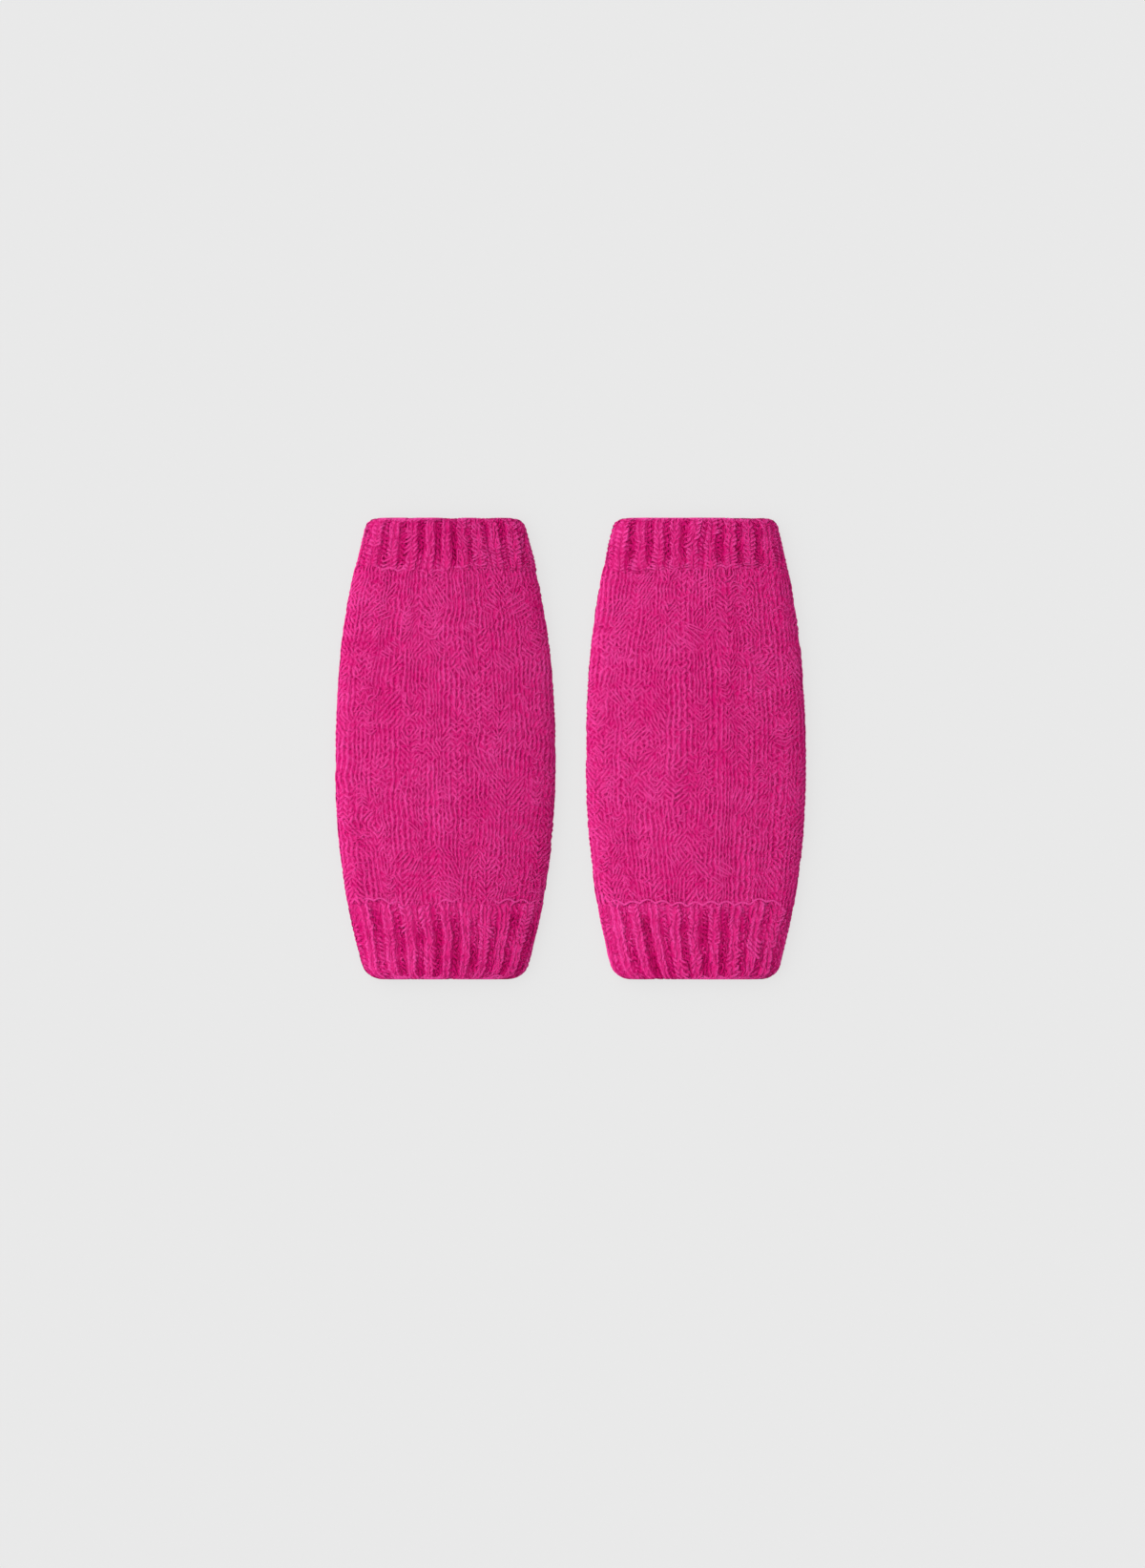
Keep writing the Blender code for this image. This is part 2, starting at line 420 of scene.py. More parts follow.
@dataclass
class MittForm:
    """The flattened tube of one mitt, sized from its solids.

    Places on it are given as turns round the tube, from the right-hand fold over the front, as metres along
    it and as metres of depth below its outside.

    Attributes:
        side: Name of the mitt, left or right.
        wall: Thickness of the knitted wall.
        widest_shift: How far its widest place lies from the middle of its length.
        fullness: How late the sides draw in on the way to an end.
        corners: Radii of the rounded corners at the lower and the upper edge.
        shoulders: Lengths over which the back and the front layer round into the side folds.
        hollow_shoulder: The same for the hollow between the layers.
        joint_wander: How far the joints of the cuffs wander along it.
        joint_reach: How far from a joint that is felt.
        roundness: How much rounder the loose fibres make it look.
        lip: Length over which an open edge rolls inwards, and how far.
        quarter_steps: Steps round each quarter of a fold while lengths are measured.
        ring_steps: Steps all round while the girth is measured.
    """

    side: str
    wall: float = 0.0030
    widest_shift: float = -0.0033
    fullness: float = 2.2
    corners: tuple = (0.0065, 0.0043)
    shoulders: tuple = (0.0040, 0.0080)
    hollow_shoulder: float = 0.0012
    joint_wander: float = 0.0016
    joint_reach: float = 0.0060
    roundness: float = 0.45
    lip: tuple = (0.0026, 0.0008)
    quarter_steps: int = 64
    ring_steps: int = 400

    def __post_init__(self) -> None:
        """Reads the sizes of the mitt from the boxes of its solids, and draws how its joints wander."""
        self.joints = SmoothField(len(self.side), 24, 2)
        lower, body, upper = (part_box(f"{self.side}_{part}") for part in ("lower_cuff", "body", "upper_cuff"))
        self.centre_x = (body[0].x + body[1].x) / 2
        self.low_y, self.high_y = lower[0].y, upper[1].y
        self.lower_seam = (lower[1].y + body[0].y) / 2
        self.upper_seam = (upper[0].y + body[1].y) / 2
        self.thickness = body[1].z - body[0].z
        self.widest = body[1].x - body[0].x
        self.widest_y = (self.low_y + self.high_y) / 2 + self.widest_shift
        self.end_widths = (self._end_width(lower, self.lower_seam, self.low_y),
                           self._end_width(upper, self.upper_seam, self.high_y))

    def _end_width(self, cuff: tuple, seam_y: float, end_y: float) -> float:
        """The width that the side curve reaches at an end, from the cuff's width at its seam.

        Args:
            cuff: The cuff's box.
            seam_y: Where the cuff meets the body.
            end_y: The cuff's open edge.

        Returns:
            The width at the edge, before its corners round.
        """
        way = (seam_y - self.widest_y) / (end_y - self.widest_y)
        return self.widest - (self.widest - (cuff[1].x - cuff[0].x)) / way**self.fullness

    def half_width(self, along: np.ndarray) -> np.ndarray:
        """Half of the mitt's width.

        Args:
            along: Places along it.

        Returns:
            Distances from the middle line to the side folds.
        """
        upper = along > self.widest_y
        end_y = np.where(upper, self.high_y, self.low_y)
        end_width = np.where(upper, self.end_widths[1], self.end_widths[0])
        way = np.clip((along - self.widest_y) / (end_y - self.widest_y), 0.0, 1.0)
        half = (self.widest - (self.widest - end_width) * way**self.fullness) / 2
        for distance, radius in zip((along - self.low_y, self.high_y - along), self.corners):
            short = radius - np.clip(distance, 0.0, radius)
            half = half - (radius - np.sqrt(radius**2 - short**2))
        return half

    def _outline(self, around: np.ndarray, half: np.ndarray, layers: tuple, shoulders: tuple) -> tuple:
        """Points of a flattened outline at equal shares of its length.

        Args:
            around: Turns round the outline, from the right-hand fold over the top.
            half: Half of its width at each point.
            layers: Heights of its lower and upper layer.
            shoulders: Lengths over which these round into the folds.

        Returns:
            The x and z of each point.
        """
        middle, rise = sum(layers) / 2, (layers[1] - layers[0]) / 2
        angles = np.linspace(0.0, math.pi / 2, self.quarter_steps + 1)
        tables = []
        for shoulder in shoulders:
            steps = np.hypot(np.diff(shoulder * np.cos(angles)), np.diff(rise * np.sin(angles)))
            tables.append(np.concatenate([[0.0], np.cumsum(steps)]))
        below, above = (table[-1] for table in tables)
        top, bottom = 2 * (half - shoulders[1]), 2 * (half - shoulders[0])
        place = np.mod(around, 1.0) * (2 * above + top + 2 * below + bottom)
        upper = place < 2 * above + top
        place = np.where(upper, place, place - 2 * above - top)
        quarter = np.where(upper, above, below)
        straight = np.where(upper, top, bottom)
        from_fold = np.minimum(place, 2 * quarter + straight - place)
        turn = np.where(upper, *(np.interp(from_fold, table, angles) for table in reversed(tables)))
        shoulder = np.where(upper, shoulders[1], shoulders[0])
        reach = half - shoulder + shoulder * np.cos(turn) - np.maximum(from_fold - quarter, 0.0)
        first_half = place < quarter + straight / 2
        x = reach * np.where(first_half == upper, 1.0, -1.0)
        return x, middle + rise * np.sin(turn) * np.where(upper, 1.0, -1.0)

    def place(self, around: np.ndarray, along: np.ndarray, depth: np.ndarray) -> np.ndarray:
        """Points in the wall of the mitt.

        Args:
            around: Turns round the tube.
            along: Places along it.
            depth: Depths below its outside. The wall's thickness is the hollow's surface.

        Returns:
            Their coordinates, one row each.
        """
        half = self.half_width(along)
        outer_x, outer_z = self._outline(around, half, (0.0, self.thickness), self.shoulders)
        layers = (self.wall, self.thickness - self.wall)
        hollow = (self.hollow_shoulder, self.hollow_shoulder)
        inner_x, inner_z = self._outline(around, half - self.wall, layers, hollow)
        from_edge = np.minimum(along - self.low_y, self.high_y - along)
        depth = depth + self.lip[1] * np.clip(1 - from_edge / self.lip[0], 0.0, 1.0) ** 2
        share = depth / self.wall
        x = self.centre_x + outer_x + (inner_x - outer_x) * share
        z = np.maximum(outer_z + (inner_z - outer_z) * share, 0.0)
        return np.stack([x, along + 0.0 * x, z], axis=1)

    def lay(self, piece: bpy.types.Object, around: np.ndarray, along: np.ndarray, depth: np.ndarray,
            heights: np.ndarray, outwards: object = 1.0) -> None:
        """Lays the points of a piece in the wall and marks what their wool's look depends on.

        Args:
            piece: The piece.
            around: Turns round the tube.
            along: Places along it.
            depth: Depths below its outside.
            heights: Heights in the wall for the wool's colour, which paints higher wool lighter and lower wool
                darker as painted light and shade.
            outwards: 1 where the points face outwards, -1 where they face the hollow.
        """
        step, outside = 0.0015, np.zeros(around.shape)
        up = self.place(around, np.minimum(along + step, self.high_y), outside)
        up = up - self.place(around, np.maximum(along - step, self.low_y), outside)
        turn = step / (4 * self.half_width(along))
        aside = self.place(around + turn, along, outside) - self.place(around - turn, along, outside)
        facing = np.cross(up, aside)
        facing = facing / np.linalg.norm(facing, axis=1)[:, None]
        points = self.place(around, along, depth)
        facing[:, 0] += self.roundness * (points[:, 0] - self.centre_x) / self.half_width(along)
        facing = facing / np.linalg.norm(facing, axis=1)[:, None]
        facing = facing * np.broadcast_to(outwards, around.shape)[:, None]
        # the height attribute drives the painted highlight and painted shade of the wool's colour
        piece.data.attributes.new("height", "FLOAT", "POINT")
        piece.data.attributes["height"].data.foreach_set("value", heights.astype(np.float32))
        piece.data.attributes.new("facing", "FLOAT_VECTOR", "POINT")
        piece.data.attributes["facing"].data.foreach_set("vector", facing.astype(np.float32).ravel())
        piece.data.vertices.foreach_set("co", points.astype(np.float32).ravel())
        piece.data.update()

    def wandered(self, around: np.ndarray, along: np.ndarray) -> np.ndarray:
        """Places along the mitt once the joints of its cuffs wander.

        Args:
            around: Turns round the tube.
            along: Places along it.

        Returns:
            The places they move to.
        """
        seams = (self.lower_seam, self.upper_seam)
        near = sum(np.exp(-(((along - seam) / self.joint_reach) ** 2)) for seam in seams)
        share = (along - self.low_y) / (self.high_y - self.low_y)
        return along + self.joint_wander * near * self.joints.at(around, share)

    def kept_in(self, along: np.ndarray, gap: float = 0.0003, softness: float = 0.0010) -> np.ndarray:
        """Places along the mitt pressed softly inside its two open edges.

        Args:
            along: Places along it.
            gap: Least distance from an edge.
            softness: Length over which they are pressed together.

        Returns:
            The pressed places.
        """
        along = gap + pressed(along, self.low_y, softness)
        return -gap - pressed(-along, -self.high_y, softness)

    def circumference(self, along: float) -> float:
        """Length round the middle of the wall at one place along the mitt."""
        turns = np.linspace(0.0, 1.0, self.ring_steps, endpoint=False)
        ring = self.place(turns, np.full(turns.shape, along), np.full(turns.shape, self.wall / 2))
        return float(np.linalg.norm(ring - np.roll(ring, 1, axis=0), axis=1).sum())

    def cloth_area(self, low: float, high: float) -> float:
        """Flat area of the cloth between two places along the mitt."""
        places = np.linspace(low, high, 25)
        lengths = [self.circumference(float(place)) for place in places]
        return float(np.trapz(lengths, places))


# --------------------------------------------------------------------------------------- uneven knitting


class SmoothField:
    """A smooth random field over a mitt, the same on each run."""

    GAIN = 1.7  # the smooth weights flatten the lattice, and this brings its values back to about -1 to 1

    def __init__(self, seed: int, round_cells: int, along_cells: int) -> None:
        """Draws the field's lattice.

        Args:
            seed: Start of its random draws.
            round_cells: Cells round the tube, where the field repeats.
            along_cells: Cells along it.
        """
        self.cells = (round_cells, along_cells)
        draw = np.random.default_rng(seed)
        self.lattice = draw.uniform(-1.0, 1.0, (round_cells, along_cells + 4))

    def at(self, around: np.ndarray, along_share: np.ndarray) -> np.ndarray:
        """Reads the field.

        Args:
            around: Turns round the tube.
            along_share: Shares of the way along it.

        Returns:
            Values within about -1 and 1.
        """
        u = np.mod(around, 1.0) * self.cells[0]
        v = np.clip(along_share, 0.0, 1.0) * self.cells[1] + 1.0
        iu, iv = np.floor(u).astype(int), np.floor(v).astype(int)
        total = np.zeros(u.shape)
        for a, wa in enumerate(self._weights(u - iu)):
            for b, wb in enumerate(self._weights(v - iv)):
                rows = np.clip(iv + b - 1, 0, self.lattice.shape[1] - 1)
                total += wa * wb * self.lattice[(iu + a - 1) % self.cells[0], rows]
        return total * self.GAIN

    @staticmethod
    def _weights(t: np.ndarray) -> tuple:
        """Cubic B-spline weights of four neighbours."""
        return ((1 - t) ** 3 / 6, (3 * t**3 - 6 * t**2 + 4) / 6,
                (-3 * t**3 + 3 * t**2 + 3 * t + 1) / 6, t**3 / 6)


@dataclass
class HandTension:
    """How unevenly the loops are drawn, as in hand knitting.

    Attributes:
        seed: Start of the random draws.
        wales: Wales round the tube.
        rows: Rows along the whole mitt.
        loop_shift: Shift from one loop to the next.
        ladders: Shift of whole wales, which opens and closes the gaps between them.
        swirl: Shift of small groups of loops, where the knitting is slack.
        drift: Shift of whole patches of loops.
        relief: Rise or fall of a loop.
        streaks: Rise or fall of whole wales.
        waves: Rise or fall of whole patches.
    """

    seed: int
    wales: int
    rows: int
    loop_shift: float = 0.00048
    ladders: float = 0.00125
    swirl: float = 0.0008
    drift: float = 0.0005
    relief: float = 0.00020
    streaks: float = 0.00030
    waves: float = 0.00020

    def __post_init__(self) -> None:
        """Draws the fields: fine ones change from loop to loop, and wide ones from patch to patch."""
        fine = (self.wales, self.rows)
        middle = (round(self.wales / 1.7), round(self.rows / 2.4))
        wide = (max(self.wales // 5, 4), max(self.rows // 7, 2))
        self.fine = [SmoothField(self.seed + step, *fine) for step in range(3)]
        self.middle = [SmoothField(self.seed + 10 + step, *middle) for step in range(2)]
        self.wide = [SmoothField(self.seed + 20 + step, *wide) for step in range(4)]
        self.ladder = SmoothField(self.seed + 30, self.wales, 5)
        self.patch = SmoothField(self.seed + 31, self.wales // 2, round(self.rows / 2.6))
        self.draw = np.random.default_rng(self.seed + 40)

    def slack(self, around: np.ndarray, share: np.ndarray) -> np.ndarray:
        """How slack the knitting is, from 0 to 1."""
        return np.clip(0.45 + 1.3 * self.wide[3].at(around, share), 0.1, 1.0)

    def wave(self, around: np.ndarray, share: np.ndarray) -> np.ndarray:
        """How far whole patches and whole wales stand out of the fabric."""
        elsewhere = around + 0.37  # so that raised wales are not the ones drawn aside
        return self.wide[2].at(around, share) * self.waves + self.ladder.at(elsewhere, share) * self.streaks

    def lean(self, around: np.ndarray, share: np.ndarray) -> np.ndarray:
        """How far whole patches lean to one side, in metres."""
        return self.wide[0].at(around, share) * self.drift

    def shift(self, around: np.ndarray, share: np.ndarray) -> tuple:
        """Shifts of points of the knitting.

        Args:
            around: Turns round the tube.
            share: Shares of the way along it.

        Returns:
            Shifts round the tube, along it and out of it, in metres.
        """
        swirl = self.swirl * self.slack(around, share)
        across = self.fine[0].at(around, share) * self.loop_shift
        across = across + self.ladder.at(around, share) * self.ladders
        across = across + self.middle[0].at(around, share) * swirl + self.lean(around, share)
        along = self.fine[1].at(around, share) * self.loop_shift + self.middle[1].at(around, share) * swirl
        along = along + self.wide[1].at(around, share) * self.drift
        return across, along, self.fine[2].at(around, share) * self.relief + self.wave(around, share)


@dataclass(frozen=True)
class Habit:
    """How a loop is drawn.

    Attributes:
        neck: How far its legs lean in at the foot and out at the head, as a share of its width.
        lean: How far its head lies to one side of its foot, as a share of its width.
        reach: How tall it is, as a share of an upright loop.
    """

    neck: float
    lean: float
    reach: float


UPRIGHT = Habit(neck=0.125, lean=0.0, reach=1.0)
OPEN = Habit(neck=0.30, lean=0.0, reach=0.80)
LEANING = Habit(neck=0.14, lean=0.60, reach=0.80)


@dataclass
class LoopPatches:
    """Patches of alike loops, as uneven hands and felting leave them.

    Attributes:
        seed: Start of the random draws.
        wales: Wales round the tube.
        rows: Rows of the stretch.
        base: How loops between the patches are drawn.
        patches: How many patches there are.
        widths: Wales of a patch, one of these each time.
        lengths: Least and most rows of a patch.
        shares: Shares of upright, open and leaning patches.
        mirrored: Share of the leaning patches that lean against a second one.
    """

    seed: int
    wales: int
    rows: int
    base: Habit = UPRIGHT
    patches: int = 360
    widths: tuple = (1, 1, 1, 2)
    lengths: tuple = (3, 10)
    shares: tuple = (0.32, 0.36, 0.32)
    mirrored: float = 0.45

    def __post_init__(self) -> None:
        """Draws the patches one over the other."""
        draw = np.random.default_rng(self.seed)
        shape = (self.wales, self.rows)
        self.neck, self.lean = np.full(shape, self.base.neck), np.full(shape, self.base.lean)
        self.reach, self.side = np.full(shape, self.base.reach), draw.choice((-1.0, 1.0), shape)
        for _ in range(self.patches):
            habit = (UPRIGHT, OPEN, LEANING)[draw.choice(3, p=self.shares)]
            first, row = draw.integers(self.wales), draw.integers(-2, self.rows)
            side = draw.choice((-1.0, 1.0))
            width, length = int(draw.choice(self.widths)), draw.integers(*self.lengths)
            mirrored = 2 if habit is LEANING and draw.uniform() < self.mirrored else 1
            for step in range(width * mirrored):
                place = ((first + step) % self.wales, slice(max(row, 0), max(row, 0) + length))
                self.neck[place], self.reach[place] = habit.neck, habit.reach
                self.side[place] = side if step < width else -side
                self.lean[place] = habit.lean * self.side[place]

    def at(self, wale: np.ndarray, row: np.ndarray) -> tuple:
        """Neck, lean, reach and side of the loops at these wales and rows."""
        place = (wale % self.wales, np.clip(row, 0, self.rows - 1))
        return self.neck[place], self.lean[place], self.reach[place], self.side[place]


# ------------------------------------------------------------------------------------------ yarn and loops


@dataclass(frozen=True)
class YarnTube:
    """How yarn is swept into a tube.

    Attributes:
        width: Its width across the fabric.
        depth: Its thickness through the fabric.
        sides: Corners of its section.
        steps: Sections along one stitch.
    """

    width: float = 0.00155
    depth: float = 0.0009
    sides: int = 5
    steps: int = 12


@dataclass(frozen=True)
class Ease:
    """How stitches differ from an even one, each a number or an array with a value for each point.

    Attributes:
        neck: How much more their legs lean, as a share of their width.
        lean: How far their head lies to one side of their foot, as such a share.
        reach: Their height, as a share of an even one.
        lift: How much higher their head is.
        tilt: How far the head and the foot of a purl stitch tilt.
    """

    neck: float | np.ndarray = 0.0
    lean: float | np.ndarray = 0.0
    reach: float | np.ndarray = 1.0
    lift: float | np.ndarray = 0.0
    tilt: float | np.ndarray = 0.0


EVEN = Ease()


@dataclass(frozen=True)
class Loop:
    """The path of the yarn through one stitch.

    Attributes:
        face: Whether it shows its knit or its purl side.
        start: Where it starts across the tile.
        width: Its width.
        reach: How far its head and its foot pass the middle of its row.
        neck: How far its legs lean in at the foot and out at the head.
        rise: How far its legs stand in front of its head and foot.
        level: Depth of its middle below the outside of the mitt.
        plump: How full its yarn is, as a share.
    """

    face: Face
    start: float
    width: float
    reach: float
    neck: float
    rise: float
    level: float
    plump: float = 1.0

    def path(self, turn: np.ndarray, ease: Ease = EVEN) -> np.ndarray:
        """Points of the path.

        Args:
            turn: Shares of the way through the stitch.
            ease: How this stitch differs from an even one.

        Returns:
            Their places across, their places along and their heights out of the fabric, one row each.
        """
        angle = 2 * math.pi * turn
        near_head = (1 - np.cos(angle)) / 2
        neck = self.neck + self.width * ease.neck
        x = self.start + self.width * (turn + ease.lean * (near_head - 0.5)) + neck * np.sin(2 * angle)
        y = -self.reach * ease.reach * np.cos(angle) + ease.lift * near_head
        if self.face is Face.PURL:
            y = y + ease.tilt * np.sin(2 * angle)
        z = -self.face.value * self.rise * np.cos(2 * angle) - self.level + 0.0 * x
        return np.stack([x, y, z], axis=-1)

    def heading(self, turn: np.ndarray, ease: Ease = EVEN) -> np.ndarray:
        """The path's direction in the plane of the fabric, as an angle."""
        ahead = self.path(turn + NEAR, ease) - self.path(turn - NEAR, ease)
        return np.arctan2(ahead[..., 1], ahead[..., 0])


class YarnSweep:
    """Sweeps yarn along paths into one tile that can be repeated."""

    def __init__(self, yarn: YarnTube) -> None:
        """Starts an empty tile.

        Args:
            yarn: The yarn to sweep.
        """
        self.yarn = yarn
        self.mesh = bmesh.new()
        self.uv = self.mesh.loops.layers.uv.new("UVMap")
        self.turn = self.mesh.verts.layers.float.new("turn")

    def _frame(self, path: Callable, turn: float) -> Matrix:
        """The place and turn of the yarn's section at one point of a path.

        Args:
            path: A function from a share of the way to a point.
            turn: The share of the way.

        Returns:
            A matrix from a unit circle to the section.
        """
        ahead = (path(turn + NEAR) - path(turn - NEAR)).normalized()
        across = Vector((0.0, 0.0, 1.0)).cross(ahead).normalized()
        up = ahead.cross(across)
        half = Matrix.Diagonal((self.yarn.width / 2, self.yarn.depth / 2, 1.0))
        turned = Matrix((across, up, ahead)).transposed() @ half
        return Matrix.Translation(path(turn)) @ turned.to_4x4()

    def sweep(self, path: Callable, steps: int, first_turn: float = 0.0) -> None:
        """Adds yarn along a path.

        Args:
            path: A function from a share of the way to a point.
            steps: How many sections it has.
            first_turn: Stitches that come before it in the tile.
        """
        frames = [self._frame(path, step / steps) for step in range(steps + 1)]
        start = bmesh.ops.create_circle(self.mesh, segments=self.yarn.sides, radius=1.0, matrix=frames[0])
        ring = start["verts"]
        for vertex in ring:
            vertex[self.turn] = first_turn
        for number in range(steps):
            edges = {edge for vertex in ring for edge in vertex.link_edges if edge.other_vert(vertex) in ring}
            made = bmesh.ops.extrude_edge_only(self.mesh, edges=list(edges))["geom"]
            ring = [item for item in made if isinstance(item, bmesh.types.BMVert)]
            step = frames[number + 1] @ frames[number].inverted()
            bmesh.ops.transform(self.mesh, matrix=step, verts=ring)
            for vertex in ring:
                vertex[self.turn] = first_turn + (number + 1) / steps
            for face in (item for item in made if isinstance(item, bmesh.types.BMFace)):
                self._unwrap(face, frames, number, steps)

    def _unwrap(self, face: bmesh.types.BMFace, frames: list, number: int, steps: int) -> None:
        """Gives one side of the tube its place along and round the yarn.

        Args:
            face: The side.
            frames: The frames of the sections.
            number: The section it starts at.
            steps: How many sections the path has.
        """
        centre = frames[number].inverted() @ face.calc_center_median()
        middle = math.atan2(centre.y, centre.x)
        near = [frames[number].translation, frames[number + 1].translation]
        for loop in face.loops:
            far = (loop.vert.co - near[0]).length > (loop.vert.co - near[1]).length
            local = frames[number + far].inverted() @ loop.vert.co
            angle = math.atan2(local.y, local.x)
            angle += 2 * math.pi * round((middle - angle) / (2 * math.pi))
            loop[self.uv].uv = ((number + far) / steps, angle / (2 * math.pi))

    def finish(self, name: str) -> bpy.types.Object:
        """Makes the tile an object.

        Args:
            name: Its name.

        Returns:
            The object, linked to the scene.
        """
        bmesh.ops.remove_doubles(self.mesh, verts=self.mesh.verts, dist=WELD)
        bmesh.ops.recalc_face_normals(self.mesh, faces=self.mesh.faces)
        data = bpy.data.meshes.new(name)
        self.mesh.to_mesh(data)
        self.mesh.free()
        return linked(name, data)


def repeated(tile: bpy.types.Object, counts: tuple, pitch: tuple) -> bpy.types.Object:
    """Repeats a tile across and along with arrays, and applies them.

    Args:
        tile: The tile.
        counts: Copies across and along.
        pitch: Distances between copies across and along.

    Returns:
        The same object with the whole sheet as its mesh.
    """
    for axis, count in enumerate(counts):
        array = tile.modifiers.new(f"repeat_{axis}", "ARRAY")
        array.use_relative_offset = False
        array.use_constant_offset = True
        array.constant_offset_displace = [pitch[0], 0.0, 0.0] if axis == 0 else [0.0, pitch[1], 0.0]
        array.count = count
        array.use_merge_vertices = axis == 0
        array.merge_threshold = WELD
    flat = bpy.data.meshes.new_from_object(tile.evaluated_get(bpy.context.evaluated_depsgraph_get()))
    tile.modifiers.clear()
    old, tile.data = tile.data, flat
    bpy.data.meshes.remove(old)
    flat.name = tile.name
    return tile


def close_up(piece: bpy.types.Object, finish: bpy.types.Material, weld: float = WELD) -> bpy.types.Object:
    """Welds, caps, smooths and dresses a piece, and turns its faces outwards.

    Args:
        piece: The piece.
        finish: Its material.
        weld: Distance within which points become one.

    Returns:
        The piece.
    """
    mesh = bmesh.new()
    mesh.from_mesh(piece.data)
    bmesh.ops.remove_doubles(mesh, verts=mesh.verts, dist=weld)
    rims = [edge for edge in mesh.edges if edge.is_boundary]
    bmesh.ops.holes_fill(mesh, edges=rims, sides=0)
    bmesh.ops.recalc_face_normals(mesh, faces=mesh.faces)
    mesh.to_mesh(piece.data)
    mesh.free()
    piece.data.shade_smooth()
    piece.data.materials.append(finish)
    return piece


# ------------------------------------------------------------------------------------------- sub-assemblies


@dataclass
class KnittedStretch:
    """One stretch of a mitt: its thin cloth, its loops of yarn and what finishes its edge.

    Attributes:
        form: The mitt's form.
        stretch: Which stretch it is.
        low: Its lower end.
        high: Its upper end.
        rows: Rows of stitches along it.
        wales: Wales round it.
        tension: How unevenly it is knitted.
        cloth_depth: Depth of the cloth's face.
        cloth_thickness: Thickness of the cloth.
        cloth_cells: Cells of the cloth round the mitt and along it.
        highest: Least depth of a loop, as the mitt has lain pressed.
        flattening: Range of depths over which loops are pressed together.
    """

    form: MittForm
    stretch: Stretch
    low: float
    high: float
    rows: int
    wales: int
    tension: HandTension
    cloth_depth: float = 0.00049
    cloth_thickness: float = 0.0012
    cloth_cells: tuple = (120, 40)
    highest: float = -0.00028
    flattening: float = 0.0002

    def __post_init__(self) -> None:
        """Draws the patches of alike loops."""
        self.habits = self.patches()

    def patches(self) -> LoopPatches:
        """The patches of alike loops."""
        return LoopPatches(self.tension.seed + 50, self.wales, self.rows)

    @property
    def name(self) -> str:
        """Name of the solid that it stands for."""
        return f"{self.form.side}_{self.stretch.value}"

    def valleys(self, around: np.ndarray, along: np.ndarray) -> np.ndarray:
        """Depth of the cloth below its usual level."""
        return np.zeros(around.shape)

    def filling(self, around: np.ndarray, along: np.ndarray) -> np.ndarray:
        """How far the loops come forward out of the valleys."""
        return np.zeros(around.shape)

    def bed(self, around: np.ndarray, along: np.ndarray) -> np.ndarray:
        """How far the loops sink under loose strands."""
        return np.zeros(around.shape)

    def cloth_ends(self) -> tuple:
        """Where the cloth starts and ends along the mitt."""
        return self.low, self.high

    def share(self, along: np.ndarray) -> np.ndarray:
        """Shares of the way along the whole mitt."""
        return (along - self.form.low_y) / (self.form.high_y - self.form.low_y)

    def reshape(self, piece: bpy.types.Object, stitches: list, pitch: tuple, first_wale: float) -> np.ndarray:
        """Makes each loop of a flat sheet of knitting a little different.

        Args:
            piece: The sheet, made of tiles.
            stitches: The loops of one tile.
            pitch: Width of one tile and height of one row on the sheet.
            first_wale: Where the sheet starts round the tube.

        Returns:
            The new places of its vertices.
        """
        flat, turn = points_of(piece), values_of(piece, "turn")
        just = 1e-5  # a turn that is just under a whole number belongs to the stitch that starts there
        kind = np.clip(np.floor(turn + just), 0, len(stitches) - 1).astype(int)
        turn = turn - kind
        even = np.choose(kind[:, None], [loop.path(turn) for loop in stitches])
        tile = np.round((flat[:, 0] - even[:, 0]) / pitch[0])
        row = np.round((flat[:, 1] - even[:, 1]) / pitch[1])
        wale = (tile * len(stitches) + kind).astype(int)
        around = (first_wale + wale + 0.5) / self.wales
        share = self.share(self.low + (row + 0.5) * (self.high - self.low) / self.rows)
        ease = self.ease(wale, row.astype(int))
        eased = np.choose(kind[:, None], [loop.path(turn, ease) for loop in stitches])
        bend = np.choose(kind, [loop.heading(turn, ease) - loop.heading(turn) for loop in stitches])
        corner = np.stack([tile * pitch[0], row * pitch[1], 0 * row], axis=1)
        offset = flat - even - corner
        plump = np.choose(kind, [loop.plump for loop in stitches])
        offset = offset * (plump * (1 + 0.12 * self.tension.fine[2].at(around + 0.3, share)))[:, None]
        cos, sin = np.cos(bend), np.sin(bend)
        turned = np.stack([offset[:, 0] * cos - offset[:, 1] * sin, offset[:, 0] * sin + offset[:, 1] * cos,
                           offset[:, 2]], axis=1)
        return eased + turned + corner

    def ease(self, wale: np.ndarray, row: np.ndarray) -> Ease:
        """How each loop differs from an even one.

        Args:
            wale: The wale of each point.
            row: The row of each point.

        Returns:
            The ease of each point's loop.
        """
        height = (self.high - self.low) / self.rows
        draws = self.tension.draw.normal(0.0, 1.0, (3, self.wales + 1, self.rows + 1))
        picked = draws[:, wale % self.wales, np.clip(row, 0, self.rows)]
        neck, lean, reach, side = self.habits.at(wale, row)
        return Ease(neck - UPRIGHT.neck + 0.060 * picked[0], lean + 0.10 * picked[1], reach,
                    lift=height * 0.15 * picked[2], tilt=0.35 * height * side)

